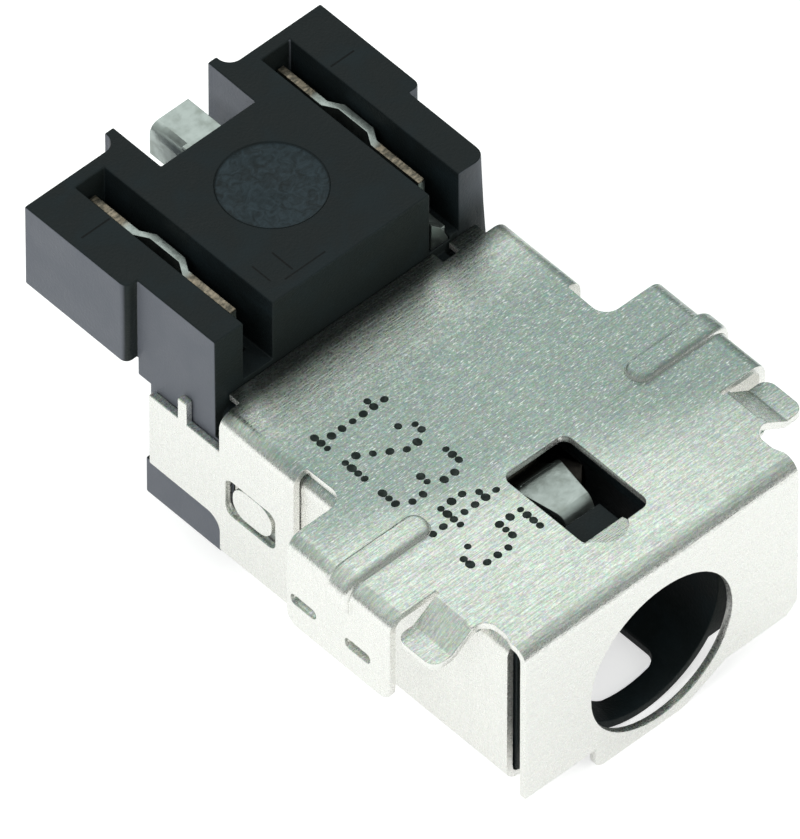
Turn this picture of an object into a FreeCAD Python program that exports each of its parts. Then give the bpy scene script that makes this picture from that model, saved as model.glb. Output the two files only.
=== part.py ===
import FreeCAD, Part
import math
import os

import Sketcher

os.makedirs("parts", exist_ok=True)

document = FreeCAD.newDocument("dc_barrel_jack")
sheet = document.addObject("Spreadsheet::Sheet", "Sizes")

# Frame: the origin is the plug axis at the outer face of the front plate.
# +X runs across the jack, +Y runs the way the plug goes in, +Z is up. All sizes are in millimetres.


class Size:
    """A length that carries both its value and its formula in the size sheet."""

    def __init__(self, value, formula):
        self.value = value
        self.formula = formula

    def __add__(self, other):
        other = as_size(other)
        return Size(self.value + other.value, f"({self.formula} + {other.formula})")

    def __sub__(self, other):
        other = as_size(other)
        return Size(self.value - other.value, f"({self.formula} - {other.formula})")

    def __mul__(self, other):
        other = as_size(other)
        return Size(self.value * other.value, f"({self.formula} * {other.formula})")

    def __truediv__(self, other):
        other = as_size(other)
        return Size(self.value / other.value, f"({self.formula} / {other.formula})")

    def __neg__(self):
        return Size(-self.value, f"(0 - {self.formula})")


def as_size(number):
    """A plain number as a Size, and a Size as it is."""
    if isinstance(number, Size):
        return number
    return Size(float(number), f"({float(number)})")


sheet_rows = []


def size(alias, value, meaning):
    """Write one driving dimension into the sheet and return it as a Size."""
    sheet_rows.append(alias)
    row = len(sheet_rows)
    sheet.set(f"A{row}", meaning)
    sheet.set(f"B{row}", str(value))
    sheet.setAlias(f"B{row}", alias)
    return Size(float(value), f"Sizes.{alias}")


# Plug and entry
plug_hole_radius = size("plug_hole_radius", 3.15, "radius of the plug hole in the front plate")
bore_radius = size("bore_radius", 3.25, "radius of the moulded bore that guides the plug")
bore_depth = size("bore_depth", 9.6, "front plate to the end wall of the bore")
barrel_wall = size("barrel_wall", 0.35, "wall of the moulded barrel below the shell")

# Sheet metal
sheet_thickness = size("sheet_thickness", 0.3, "thickness of both shells")
bend_radius = size("bend_radius", 0.6, "outer radius of the sheet bends")
nest_gap = size("nest_gap", 0.03, "gap between the two nested shells")
fit_gap = size("fit_gap", 0.05, "gap between metal and moulded plastic")

# Outer shell
axis_below_top = size("axis_below_top", 4.6, "top face of the shell above the plug axis")
plate_half_width = size("plate_half_width", 6.1, "half width of the top and front plates")
plate_length = size("plate_length", 14.4, "length of the top plate")
rear_edge_reach = size("rear_edge_reach", 0.5, "how far the top plate reaches on towards the block")
rear_edge_half = size("rear_edge_half", 5.5, "half width of that rear edge")
rear_cut_inner = size("rear_cut_inner", 3.6, "inner side of the small cut in that rear edge")
rear_cut_outer = size("rear_cut_outer", 4.3, "outer side of that cut")
rear_cut_depth = size("rear_cut_depth", 0.6, "depth of that cut")
front_drop = size("front_drop", 2.6, "front plate below the plug axis")
front_corner_cut = size("front_corner_cut", 0.45, "chamfer at one lower corner of the front plate")
lobe_left = size("lobe_left", 2.95, "left side of the lobe below the plug hole")
lobe_right = size("lobe_right", 2.9, "right foot of the lobe below the plug hole")
lobe_flat_right = size("lobe_flat_right", 1.0, "right end of the flat bottom of the lobe")
lobe_drop = size("lobe_drop", 3.57, "bottom of the lobe below the plug axis")
lobe_corner = size("lobe_corner", 0.4, "radius of the left corner of the lobe")
lobe_shoulder = size("lobe_shoulder", 1.2, "radius of the right shoulder of the lobe")
tab_start = size("tab_start", 2.05, "front edge of the side tabs")
tab_end = size("tab_end", 3.9, "rear edge of the side tabs")
tab_reach = size("tab_reach", 8.3, "outer end of the side tabs")
tab_knee = size("tab_knee", 6.4, "where a side tab starts to step down")
tab_foot = size("tab_foot", 7.4, "where the step of a side tab ends")
tab_step = size("tab_step", 0.65, "height of the step in a side tab")
tab_corner = size("tab_corner", 0.45, "radius at the outer corners of a side tab")
wing_start = size("wing_start", 4.05, "front edge of the wings")
wing_end = size("wing_end", 9.0, "rear edge of the wings")
wing_half_width = size("wing_half_width", 8.4, "half width over the wings")
wing_depth = size("wing_depth", 4.0, "lower edge of the wings below the top face")
wing_corner = size("wing_corner", 0.5, "radius of the lower corners of the wings")
hood_start = size("hood_start", 10.8, "front edge of the rear hood")
hood_half_width = size("hood_half_width", 6.43, "half width over the rear hood")
hood_depth = size("hood_depth", 6.57, "lower edge of the rear hood below the top face")
notch_corner = size("notch_corner", 0.6, "inner corner radius of the notches between wing and hood")
relief_corner = size("relief_corner", 0.5, "inner corner radius in front of the side tabs")
relief_depth = size("relief_depth", 0.15, "how far the notch before a tab cuts into the plate")
relief_front = size("relief_front", 0.7, "front end of that notch")
relief_slope = size("relief_slope", 0.4, "length of the slope into that notch")
slit_end = size("slit_end", 6.35, "inner end of the slits between the tabs and the wings")
arm_end = size("arm_end", 17.8, "rear end of the side arms")
arm_top_drop = size("arm_top_drop", 1.74, "upper edge of the side arms below the top face")
arm_bottom_drop = size("arm_bottom_drop", 5.1, "lower edge of the side arms below the top face")
arm_corner = size("arm_corner", 0.6, "radius where a side arm meets the hood")
tang_place = size("tang_place", 16.2, "middle of the small tang on a side arm")
tang_width = size("tang_width", 0.4, "width of the small tang")
tang_height = size("tang_height", 1.0, "height of the small tang")
window_start = size("window_start", 2.1, "front edge of the top window")
window_end = size("window_end", 6.2, "rear edge of the top window")
window_half_width = size("window_half_width", 1.4, "half width of the top window")
window_corner = size("window_corner", 0.35, "corner radius of the top window")
lip_place = size("lip_place", 0.35, "middle of the pressed lip to the left of the plug axis")
lip_radius = size("lip_radius", 0.82, "radius of the pressed half moon round the lip")
lip_length = size("lip_length", 0.35, "how far the pressed lip reaches into the window")
lip_sink = size("lip_sink", 0.3, "how far the pressed lip sinks")
bead_start = size("bead_start", 5.95, "front edge of the stiffening beads")
bead_end = size("bead_end", 7.0, "rear edge of the stiffening beads")
bead_inner = size("bead_inner", 4.55, "inner end of the stiffening beads")
bead_height = size("bead_height", 0.25, "height of the stiffening beads")
bead_round = size("bead_round", 0.24, "radius of the upper edges of the beads")
bead_nose = size("bead_nose", 0.48, "radius of the inner end of the beads, seen from above")
slot_length = size("slot_length", 1.2, "length of the small slots in the wings")
slot_height = size("slot_height", 0.45, "height of the small slots in the wings")
slot_drop = size("slot_drop", 2.7, "small slots below the top face")
slot_first = size("slot_first", 5.6, "middle of the first small slot")
slot_second = size("slot_second", 8.2, "middle of the second small slot")
latch_middle = size("latch_middle", 12.9, "middle of the latch windows along the jack")
latch_drop = size("latch_drop", 3.6, "middle of the latch windows below the top face")
latch_length = size("latch_length", 2.4, "length of the latch windows")
latch_height = size("latch_height", 1.7, "height of the latch windows")
latch_corner = size("latch_corner", 0.35, "corner radius of the latch windows")

# Inner shell
inner_start = size("inner_start", 0.9, "front edge of the inner shell")
inner_end = size("inner_end", 14.0, "rear edge of the inner shell")
inner_depth = size("inner_depth", 7.13, "bottom of the inner shell below the top face")
flange_reach = size("flange_reach", 1.9, "width of the folded-in top flanges")
barrel_cut_corner = size("barrel_cut_corner", 1.0, "rear corner radius of the cut around the barrel")
boss_rise = size("boss_rise", 0.25, "how far the latch bosses stand proud")
boss_gap = size("boss_gap", 0.15, "gap above and below a latch boss in its window")
boss_end_gap = size("boss_end_gap", 0.25, "gap before and behind a latch boss in its window")

# Housing
housing_start = size("housing_start", 0.8, "front face of the moulded barrel")
barrel_end = size("barrel_end", 9.8, "rear end of the moulded barrel below the shell")
floor_open_start = size("floor_open_start", 1.8, "front edge of the floor opening")
floor_open_end = size("floor_open_end", 8.0, "rear edge of the floor opening")
floor_open_half = size("floor_open_half", 1.5, "half width of the floor opening")
floor_open_corner = size("floor_open_corner", 0.5, "corner radius of the floor opening")
roof_recess_depth = size("roof_recess_depth", 0.4, "depth of the recess in the roof under the window")
roof_recess_margin = size("roof_recess_margin", 0.35, "how far that recess reaches past the window")
side_opening_start = size("side_opening_start", 2.2, "front edge of the opening beside the tongue")
side_opening_half = size("side_opening_half", 2.4, "far side of the opening beside the tongue")
block_rise = size("block_rise", 2.9, "top of the rear block above the top face")
block_start = size("block_start", 14.95, "front face of the rear block")
block_step = size("block_step", 18.7, "where the rear block widens into its ears")
block_drop = size("block_drop", 1.72, "underside of the front of the rear block below the top face")
ear_end = size("ear_end", 23.6, "rear face of the ears")
ear_half_width = size("ear_half_width", 6.6, "half width over the ears")
ear_drop = size("ear_drop", 0.87, "underside of the ears below the top face")
ear_corner = size("ear_corner", 0.3, "radius of the front outer corners of the ears")
centre_end = size("centre_end", 21.87, "rear face of the block between the ears")
recess_half_width = size("recess_half_width", 2.1, "half width of the rear recess")
rib_width = size("rib_width", 0.4, "thickness of the thin ribs beside the recess")
rib_end = size("rib_end", 24.2, "rear end of the thin ribs")
rib_root = size("rib_root", 0.5, "radius at the root of the thin ribs")
groove_inner = size("groove_inner", 3.5, "inner wall of the blade grooves")
groove_outer = size("groove_outer", 4.8, "outer wall of the blade grooves")
groove_end = size("groove_end", 23.1, "rear end of the blade grooves")
groove_depth = size("groove_depth", 2.75, "depth of the blade grooves")
mark_radius = size("mark_radius", 1.9, "radius of the round ejector mark")
mark_depth = size("mark_depth", 0.06, "depth of the round ejector mark")
mark_place = size("mark_place", 18.78, "middle of the ejector mark along the jack")
foot_end = size("foot_end", 18.1, "rear face of the lower body and its feet")
foot_half_width = size("foot_half_width", 6.3, "half width over the feet")
foot_bottom_drop = size("foot_bottom_drop", 6.85, "underside of the feet below the top face")
foot_corner = size("foot_corner", 0.75, "radius of the front upper corner of the feet")
end_wall = size("end_wall", 4.0, "thickness of the end wall of the bore")

# Centre pin
pin_radius = size("pin_radius", 1.8, "radius of the centre pin")
pin_tip = size("pin_tip", 3.5, "tip of the centre pin behind the front plate")
pin_nose = size("pin_nose", 0.5, "radius of the nose of the centre pin")
pin_shank_radius = size("pin_shank_radius", 1.2, "radius of the pin where it passes the end wall")
pin_stud_radius = size("pin_stud_radius", 0.75, "radius of the riveted stud of the pin")
pin_head_radius = size("pin_head_radius", 1.05, "radius of the riveted head of the pin")
pin_head_length = size("pin_head_length", 0.3, "length of the riveted head of the pin")
pin_seat_gap = size("pin_seat_gap", 0.02, "gap between the pin and the blade foot riveted on it")

# Blade contacts
contact_thickness = size("contact_thickness", 0.3, "thickness of the blade contacts")
blade_place = size("blade_place", 4.2, "middle plane of a blade from the middle of the jack")
blade_start = size("blade_start", 16.1, "front edge of a blade")
blade_end = size("blade_end", 22.95, "rear edge of a blade")
blade_below_block = size("blade_below_block", 0.8, "upper edge of a blade below the block top")
blade_height = size("blade_height", 1.85, "height of the long part of a blade")
blade_jog = size("blade_jog", 0.3, "sideways jog of the middle of a blade")
jog_start = size("jog_start", 18.4, "front end of the jog")
jog_end = size("jog_end", 20.8, "rear end of the jog")
jog_slope = size("jog_slope", 0.5, "length of each slope of the jog")
shoulder_front = size("shoulder_front", 14.97, "front face of the shoulder of the right blade")
shoulder_reach = size("shoulder_reach", 0.45, "how far that shoulder turns inwards")
shoulder_lift = size("shoulder_lift", 0.03, "shoulder above the top face")
shoulder_low = size("shoulder_low", 0.1, "height of the outer end of the shoulder")
shoulder_knee = size("shoulder_knee", 0.8, "height of the shoulder at its knee")
shoulder_high = size("shoulder_high", 1.25, "height of the inner end of the shoulder")
link_height = size("link_height", 0.4, "height of the strip that joins the shoulder to the blade")
link_lift = size("link_lift", 0.05, "that strip above the floor of the groove")
leg_width = size("leg_width", 1.0, "width of the leg that carries a blade")
leg_bottom = size("leg_bottom", 1.1, "lower end of a leg below the plug axis")
foot_plate_half = size("foot_plate_half", 1.25, "half height of the foot riveted on the pin")
foot_plate_reach = size("foot_plate_reach", 1.3, "far end of that foot beyond the plug axis")
side_spring_half = size("side_spring_half", 0.6, "half height of the side spring")
side_spring_bend = size("side_spring_bend", 10.4, "where the side spring turns inwards")
side_spring_crest = size("side_spring_crest", 8.2, "crest of the side spring along the jack")
side_spring_tip = size("side_spring_tip", 7.4, "tip of the side spring")
side_spring_flare = size("side_spring_flare", 0.35, "how far the tip flares back outwards")
spring_touch_radius = size("spring_touch_radius", 2.95, "where the springs touch the plug")
channel_gap = size("channel_gap", 0.2, "room around a contact in its channel")

# Top spring contact
top_spring_thickness = size("top_spring_thickness", 0.25, "thickness of the top spring")
top_spring_half = size("top_spring_half", 0.75, "half width of the top spring")
top_spring_bend = size("top_spring_bend", 7.6, "where the top spring slopes down")
top_spring_crest = size("top_spring_crest", 6.75, "lowest point of the top spring")
crest_round = size("crest_round", 0.15, "inner radius at the crest and the shoulder of the top spring")
tongue_shoulder = size("tongue_shoulder", 6.0, "where the tongue of the top spring levels out")
tongue_rise = size("tongue_rise", 0.6, "tongue of the top spring above its lowest point")
tongue_end = size("tongue_end", 4.15, "where the tip of the tongue turns down")
top_spring_tip = size("top_spring_tip", 3.9, "tip of the top spring")
top_spring_curl = size("top_spring_curl", 0.35, "how far the tip of the top spring curls down")
tongue_half = size("tongue_half", 1.0, "half width of the tongue at its shoulder")
tongue_tip_half = size("tongue_tip_half", 0.62, "half width of the tongue at its tip")
top_spring_gap = size("top_spring_gap", 0.1, "gap between the top spring and the top plate")
riser_place = size("riser_place", 15.45, "front face of the riser of the top spring")
tail_half_width = size("tail_half_width", 0.87, "half width of the rear tail")
tail_below_block = size("tail_below_block", 0.5, "upper face of the rear tail below the block top")
tail_end = size("tail_end", 23.8, "rear end of the tail")
tail_flange_height = size("tail_flange_height", 1.4, "height of the folded side of the tail")
tail_flange_start = size("tail_flange_start", 22.1, "front end of the folded side of the tail")
tail_bend = size("tail_bend", 0.4, "outer radius of the fold of the tail")

# Cutting shapes
cut_margin = size("cut_margin", 1.0, "how far a cutting shape reaches past what it cuts")

document.recompute()

# Derived levels and places
zero = as_size(0)
shell_top = axis_below_top
shell_under = shell_top - sheet_thickness
inner_bend_radius = bend_radius - sheet_thickness
hood_inner = hood_half_width - sheet_thickness
notch_inner = hood_half_width - bend_radius
inner_half_width = hood_inner - nest_gap
inner_top = shell_under - nest_gap
inner_bottom = shell_top - inner_depth
front_bottom = -front_drop
wing_bottom = shell_top - wing_depth
hood_bottom = shell_top - hood_depth
arm_top = shell_top - arm_top_drop
arm_bottom = shell_top - arm_bottom_drop
flange_tip = inner_half_width - flange_reach
block_half_width = hood_inner - fit_gap
block_bottom = shell_top - block_drop
ear_bottom = shell_top - ear_drop
block_top = shell_top + block_rise
groove_floor = block_top - groove_depth
blade_top = block_top - blade_below_block
blade_bottom = blade_top - blade_height
foot_bottom = shell_top - foot_bottom_drop
foot_plate_front = bore_depth + end_wall + fit_gap
foot_plate_back = foot_plate_front + contact_thickness
barrel_outer_radius = bore_radius + barrel_wall
top_spring_upper = shell_under - top_spring_gap
top_spring_lower = top_spring_upper - top_spring_thickness
tail_upper = block_top - tail_below_block
tail_lower = tail_upper - top_spring_thickness

SAME_PLACE = 0.001
KNEE_SHARE = 0.3
SLOT_END_SHARE = 0.45
BOSS_END_SHARE = 0.9
ROLE = {"XY": "XY_Plane", "XZ": "XZ_Plane", "YZ": "YZ_Plane"}


def new_body(label):
    """An empty body whose label names its file."""
    body = document.addObject("PartDesign::Body", label)
    body.Label = label
    return body


def new_sketch(body, name, plane, level):
    """A sketch on one of the body's own planes, moved to a level along that plane's axis."""
    sketch = body.newObject("Sketcher::SketchObject", name)
    origin_plane = [item for item in body.Origin.OriginFeatures if item.Role == ROLE[plane]][0]
    sketch.AttachmentSupport = (origin_plane, [""])
    sketch.MapMode = "FlatFace"
    along_normal = -level if plane == "XZ" else level
    sketch.setExpression("AttachmentOffset.Base.z", along_normal.formula)
    return sketch


def drive(sketch, constraint, length):
    """Add one constraint and bind it to the sheet."""
    index = sketch.addConstraint(constraint)
    sketch.setExpression(f"Constraints[{index}]", length.formula)


def place_point(sketch, geometry, position, corner):
    """Hold one point of the sketch at a corner given by two sizes."""
    drive(sketch, Sketcher.Constraint("DistanceX", geometry, position, corner[0].value), corner[0])
    drive(sketch, Sketcher.Constraint("DistanceY", geometry, position, corner[1].value), corner[1])


def rounding(before, corner, after, radius):
    """Where an arc of this radius touches the two sides of a corner, its centre and its turn."""
    to_before = (before - corner).normalize()
    to_after = (after - corner).normalize()
    half_angle = to_before.getAngle(to_after) / 2
    reach = radius / math.tan(half_angle)
    middle = (to_before + to_after).normalize()
    centre = corner + middle * (radius / math.sin(half_angle))
    turns_left = (corner - before).cross(after - corner).z > 0
    return corner + to_before * reach, corner + to_after * reach, centre, turns_left


def draw_outline(sketch, corners):
    """Draw a closed outline. Each corner is two sizes, and a third where it is rounded."""
    spots = [FreeCAD.Vector(corner[0].value, corner[1].value, 0) for corner in corners]
    count = len(corners)
    arrive, leave, centres, lefts = [], [], [], []
    for index, corner in enumerate(corners):
        if len(corner) == 2:
            arrive.append(spots[index])
            leave.append(spots[index])
            centres.append(None)
            lefts.append(None)
            continue
        start, end, centre, left = rounding(
            spots[index - 1], spots[index], spots[(index + 1) % count], corner[2].value
        )
        arrive.append(start)
        leave.append(end)
        centres.append(centre)
        lefts.append(left)
    sides = []
    for index in range(count):
        line = Part.LineSegment(leave[index], arrive[(index + 1) % count])
        sides.append(sketch.addGeometry(line, False))
    for index, corner in enumerate(corners):
        incoming = sides[index - 1]
        outgoing = sides[index]
        if centres[index] is None:
            sketch.addConstraint(Sketcher.Constraint("Coincident", incoming, 2, outgoing, 1))
            place_point(sketch, outgoing, 1, corner)
            continue
        first, last = (arrive[index], leave[index]) if lefts[index] else (leave[index], arrive[index])
        spoke = first - centres[index]
        other_spoke = last - centres[index]
        start_angle = math.atan2(spoke.y, spoke.x)
        end_angle = math.atan2(other_spoke.y, other_spoke.x)
        circle = Part.Circle(centres[index], FreeCAD.Vector(0, 0, 1), corner[2].value)
        arc = sketch.addGeometry(Part.ArcOfCircle(circle, start_angle, end_angle), False)
        arc_arrive, arc_leave = (1, 2) if lefts[index] else (2, 1)
        anchor = sketch.addGeometry(Part.Point(spots[index]), True)
        place_point(sketch, anchor, 1, corner)
        sketch.addConstraint(Sketcher.Constraint("PointOnObject", anchor, 1, incoming))
        sketch.addConstraint(Sketcher.Constraint("PointOnObject", anchor, 1, outgoing))
        sketch.addConstraint(Sketcher.Constraint("Tangent", incoming, 2, arc, arc_arrive))
        sketch.addConstraint(Sketcher.Constraint("Tangent", arc, arc_leave, outgoing, 1))
        drive(sketch, Sketcher.Constraint("Radius", arc, corner[2].value), corner[2])


def draw_circle(sketch, centre, radius):
    """Draw one full circle."""
    middle = FreeCAD.Vector(centre[0].value, centre[1].value, 0)
    circle = sketch.addGeometry(Part.Circle(middle, FreeCAD.Vector(0, 0, 1), radius.value), False)
    place_point(sketch, circle, 3, centre)
    drive(sketch, Sketcher.Constraint("Radius", circle, radius.value), radius)


def pad(body, name, plane, low, high, draw, *shape):
    """Add material between two levels along the plane's axis."""
    sketch = new_sketch(body, name + "_sketch", plane, high if plane == "XZ" else low)
    draw(sketch, *shape)
    feature = body.newObject("PartDesign::Pad", name)
    feature.Profile = sketch
    feature.setExpression("Length", (high - low).formula)
    return feature


def pocket(body, name, plane, low, high, draw, *shape):
    """Take material away between two levels along the plane's axis."""
    sketch = new_sketch(body, name + "_sketch", plane, low if plane == "XZ" else high)
    draw(sketch, *shape)
    document.recompute()
    volume_before = body.Shape.Volume
    feature = body.newObject("PartDesign::Pocket", name)
    feature.Profile = sketch
    feature.setExpression("Length", (high - low).formula)
    document.recompute()
    if body.Shape.Volume >= volume_before:
        raise RuntimeError(f"{name} cuts nothing")
    return feature


def lies_at(point, x, y, z):
    """Whether a point has the given places, with the same distance meant on both sides in X."""
    return (
        (x is None or abs(abs(point.x) - x.value) < SAME_PLACE)
        and (y is None or abs(point.y - y.value) < SAME_PLACE)
        and (z is None or abs(point.z - z.value) < SAME_PLACE)
    )


def round_edges(body, name, radius, x=None, y=None, z=None):
    """Fillet the straight edges whose ends all lie at the given places."""
    document.recompute()
    base = body.Tip
    chosen = []
    for number, edge in enumerate(body.Shape.Edges, 1):
        ends = [vertex.Point for vertex in edge.Vertexes]
        if len(ends) == 2 and all(lies_at(end, x, y, z) for end in ends):
            chosen.append(f"Edge{number}")
    if not chosen:
        raise RuntimeError(f"{name} finds no edge")
    feature = body.newObject("PartDesign::Fillet", name)
    feature.Base = (base, chosen)
    feature.setExpression("Radius", radius.formula)
    return feature


def rectangle(x_low, x_high, y_low, y_high, corner=None):
    """The four corners of a rectangle, all rounded alike if a radius is given."""
    corners = [(x_low, y_low), (x_high, y_low), (x_high, y_high), (x_low, y_high)]
    if corner is None:
        return corners
    return [(x, y, corner) for x, y in corners]


def mirrored(corners):
    """The same outline on the other side of the middle plane, drawn the same way round."""
    return [(-corner[0], *corner[1:]) for corner in reversed(corners)]


def both_sides(corners):
    """A name and an outline for the right side and for the left side."""
    return (("right", corners), ("left", mirrored(corners)))


def side_span(side, low, high):
    """The range from low to high on the right, or its mirror image on the left."""
    return (low, high) if side == "right" else (-high, -low)


def channel_outline(half_width, bottom):
    """A sheet folded down on both sides, seen from the front."""
    inner = half_width - sheet_thickness
    return [
        (-half_width, bottom),
        (-inner, bottom),
        (-inner, shell_under, inner_bend_radius),
        (inner, shell_under, inner_bend_radius),
        (inner, bottom),
        (half_width, bottom),
        (half_width, shell_top, bend_radius),
        (-half_width, shell_top, bend_radius),
    ]


def add_shell_plates(body):
    """The top plate folded down into the front plate, with its lobe and cut corner."""
    pad(body, "plates", "YZ", -plate_half_width, plate_half_width, draw_outline, [
        (zero, front_bottom),
        (sheet_thickness, front_bottom),
        (sheet_thickness, shell_under, inner_bend_radius),
        (wing_end, shell_under),
        (wing_end, shell_top),
        (zero, shell_top, bend_radius),
    ])
    pad(body, "rear_plate", "XY", shell_under, shell_top, draw_outline,
        rectangle(-notch_inner, notch_inner, wing_end - sheet_thickness, plate_length))
    pad(body, "rear_edge", "XY", shell_under, shell_top, draw_outline,
        rectangle(-rear_edge_half, rear_edge_half, plate_length - sheet_thickness,
                  plate_length + rear_edge_reach))
    pocket(body, "rear_cut", "XY", shell_under, shell_top + cut_margin, draw_outline,
           rectangle(rear_cut_inner, rear_cut_outer, plate_length + rear_edge_reach - rear_cut_depth,
                     plate_length + rear_edge_reach + cut_margin))
    pad(body, "lobe", "XZ", zero, sheet_thickness, draw_outline, [
        (-lobe_left, front_bottom + sheet_thickness),
        (-lobe_left, -lobe_drop, lobe_corner),
        (lobe_flat_right, -lobe_drop, lobe_shoulder),
        (lobe_right, front_bottom),
        (lobe_right, front_bottom + sheet_thickness),
    ])
    pocket(body, "cut_corner", "XZ", -cut_margin, sheet_thickness + cut_margin, draw_outline, [
        (plate_half_width + cut_margin, front_bottom + front_corner_cut + cut_margin),
        (plate_half_width - front_corner_cut - cut_margin, front_bottom - cut_margin),
        (plate_half_width + cut_margin, front_bottom - cut_margin),
    ])


def add_shell_folds(body):
    """The wings, the rear hood with its side arms and tangs, and the stepped side tabs."""
    pad(body, "wings", "XZ", wing_start, wing_end, draw_outline,
        channel_outline(wing_half_width, wing_bottom))
    round_edges(body, "wing_front_corners", wing_corner, y=wing_start, z=wing_bottom)
    round_edges(body, "wing_rear_corners", wing_corner, y=wing_end, z=wing_bottom)
    pad(body, "hood", "XZ", hood_start, plate_length, draw_outline,
        channel_outline(hood_half_width, hood_bottom))
    arm = rectangle(plate_length - sheet_thickness, arm_end, arm_bottom, arm_top)
    tang = rectangle(tang_place - tang_width / 2, tang_place + tang_width / 2,
                     arm_top - sheet_thickness, arm_top + tang_height)
    for side in ("right", "left"):
        inside, outside = side_span(side, hood_inner, hood_half_width)
        pad(body, f"{side}_arm", "YZ", inside, outside, draw_outline, arm)
        pad(body, f"{side}_tang", "YZ", inside, outside, draw_outline, tang)
    round_edges(body, "arm_corners", arm_corner, y=plate_length, z=arm_bottom)
    knee = sheet_thickness * KNEE_SHARE
    root = plate_half_width - sheet_thickness
    tab = [
        (root, shell_under),
        (tab_knee, shell_under),
        (tab_foot, shell_under - tab_step),
        (tab_reach, shell_under - tab_step),
        (tab_reach, shell_top - tab_step),
        (tab_foot + knee, shell_top - tab_step),
        (tab_knee + knee, shell_top),
        (root, shell_top),
    ]
    for side, outline in both_sides(tab):
        pad(body, f"{side}_tab", "XZ", tab_start, tab_end, draw_outline, outline)
    round_edges(body, "tab_front_corners", tab_corner, x=tab_reach, y=tab_start)
    round_edges(body, "tab_rear_corners", tab_corner, x=tab_reach, y=tab_end)


def round_plate_corners(body):
    """The rounded inner corners in front of the tabs and behind the wings."""
    relief_shoulder = rectangle(-plate_half_width - relief_corner, plate_half_width + relief_corner,
                                tab_start - relief_corner, tab_start + sheet_thickness)
    notch_shoulder = rectangle(-notch_inner - notch_corner, notch_inner + notch_corner,
                               wing_end - sheet_thickness, wing_end + notch_corner)
    pad(body, "relief_shoulder", "XY", shell_under, shell_top, draw_outline, relief_shoulder)
    pad(body, "slit_ends", "XY", shell_under, shell_top, draw_outline,
        rectangle(-slit_end, slit_end, tab_end - sheet_thickness, wing_start + sheet_thickness))
    pad(body, "notch_shoulder", "XY", shell_under, shell_top, draw_outline, notch_shoulder)
    relief = [
        (plate_half_width, -cut_margin),
        (tab_reach, -cut_margin),
        (tab_reach, tab_start),
        (plate_half_width - relief_depth, tab_start, relief_corner),
        (plate_half_width - relief_depth, relief_front + relief_slope, sheet_thickness),
        (plate_half_width, relief_front, sheet_thickness),
    ]
    notch = [
        (notch_inner, hood_start),
        (notch_inner, wing_end, notch_corner),
        (wing_half_width, wing_end),
        (wing_half_width, hood_start),
    ]
    above = shell_top + cut_margin
    for side, outline in both_sides(relief):
        pocket(body, f"{side}_relief", "XY", shell_under, above, draw_outline, outline)
    for side, outline in both_sides(notch):
        pocket(body, f"{side}_notch", "XY", shell_under, above, draw_outline, outline)


def add_beads(body):
    """The pressed beads that run over the wings, hollow underneath."""
    half_sheet = sheet_thickness / 2
    bead_low = shell_top - bend_radius - bead_height * 2
    bead = [
        (bead_inner, shell_top - half_sheet),
        (wing_half_width - half_sheet, shell_top - half_sheet, bend_radius - half_sheet),
        (wing_half_width - half_sheet, bead_low - bead_height),
        (wing_half_width + bead_height, bead_low + half_sheet),
        (wing_half_width + bead_height, shell_top + bead_height, bend_radius + bead_height),
        (bead_inner, shell_top + bead_height),
    ]
    for side, outline in both_sides(bead):
        pad(body, f"{side}_bead", "XZ", bead_start, bead_end, draw_outline, outline)
    for end, place in (("front", bead_start), ("rear", bead_end)):
        round_edges(body, f"bead_{end}_noses", bead_nose, x=bead_inner, y=place)
    round_edges(body, "bead_rounds", bead_round, y=bead_start, z=shell_top + bead_height)
    hollow = rectangle(bead_inner + bead_height * 2, wing_half_width - sheet_thickness,
                       bead_start + sheet_thickness, bead_end - sheet_thickness)
    for side, outline in both_sides(hollow):
        pocket(body, f"{side}_bead_hollow", "XY", shell_under, shell_under + bead_height,
               draw_outline, outline)


def cut_shell_openings(body):
    """The plug hole, the top window with its pressed lip, the wing slots and the latch windows."""
    pocket(body, "plug_hole", "XZ", -cut_margin, sheet_thickness + cut_margin, draw_circle,
           (zero, zero), plug_hole_radius)
    window = rectangle(-window_half_width, window_half_width, window_start, window_end, window_corner)
    pocket(body, "top_window", "XY", shell_under, shell_top + cut_margin, draw_outline, window)
    lip_edge = window_start + lip_length
    lip_crease = lip_edge - lip_radius
    pocket(body, "half_moon", "XY", shell_under, shell_top + cut_margin, draw_circle,
           (-lip_place, lip_edge), lip_radius)
    pad(body, "pressed_lip", "YZ", -lip_place - lip_radius, lip_radius - lip_place, draw_outline, [
        (lip_crease, shell_under),
        (lip_edge, shell_under - lip_sink),
        (lip_edge, shell_top - lip_sink),
        (lip_crease, shell_top),
    ])
    slot_level = shell_top - slot_drop
    latch_level = shell_top - latch_drop
    slot_end_radius = slot_height * SLOT_END_SHARE
    latch = rectangle(latch_middle - latch_length / 2, latch_middle + latch_length / 2,
                      latch_level - latch_height / 2, latch_level + latch_height / 2, latch_corner)
    for side in ("right", "left"):
        inside, outside = side_span(side, wing_half_width - sheet_thickness * 2,
                                    wing_half_width + sheet_thickness)
        for place, middle in (("first", slot_first), ("second", slot_second)):
            slot = rectangle(middle - slot_length / 2, middle + slot_length / 2,
                             slot_level - slot_height / 2, slot_level + slot_height / 2, slot_end_radius)
            pocket(body, f"{side}_{place}_slot", "YZ", inside, outside, draw_outline, slot)
        inside, outside = side_span(side, hood_inner - sheet_thickness,
                                    hood_half_width + sheet_thickness)
        pocket(body, f"{side}_latch_window", "YZ", inside, outside, draw_outline, latch)


def build_outer_shell():
    """The plated steel shell, folded from one blank."""
    body = new_body("outer_shell")
    add_shell_plates(body)
    add_shell_folds(body)
    round_plate_corners(body)
    add_beads(body)
    cut_shell_openings(body)
    return body


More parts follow.
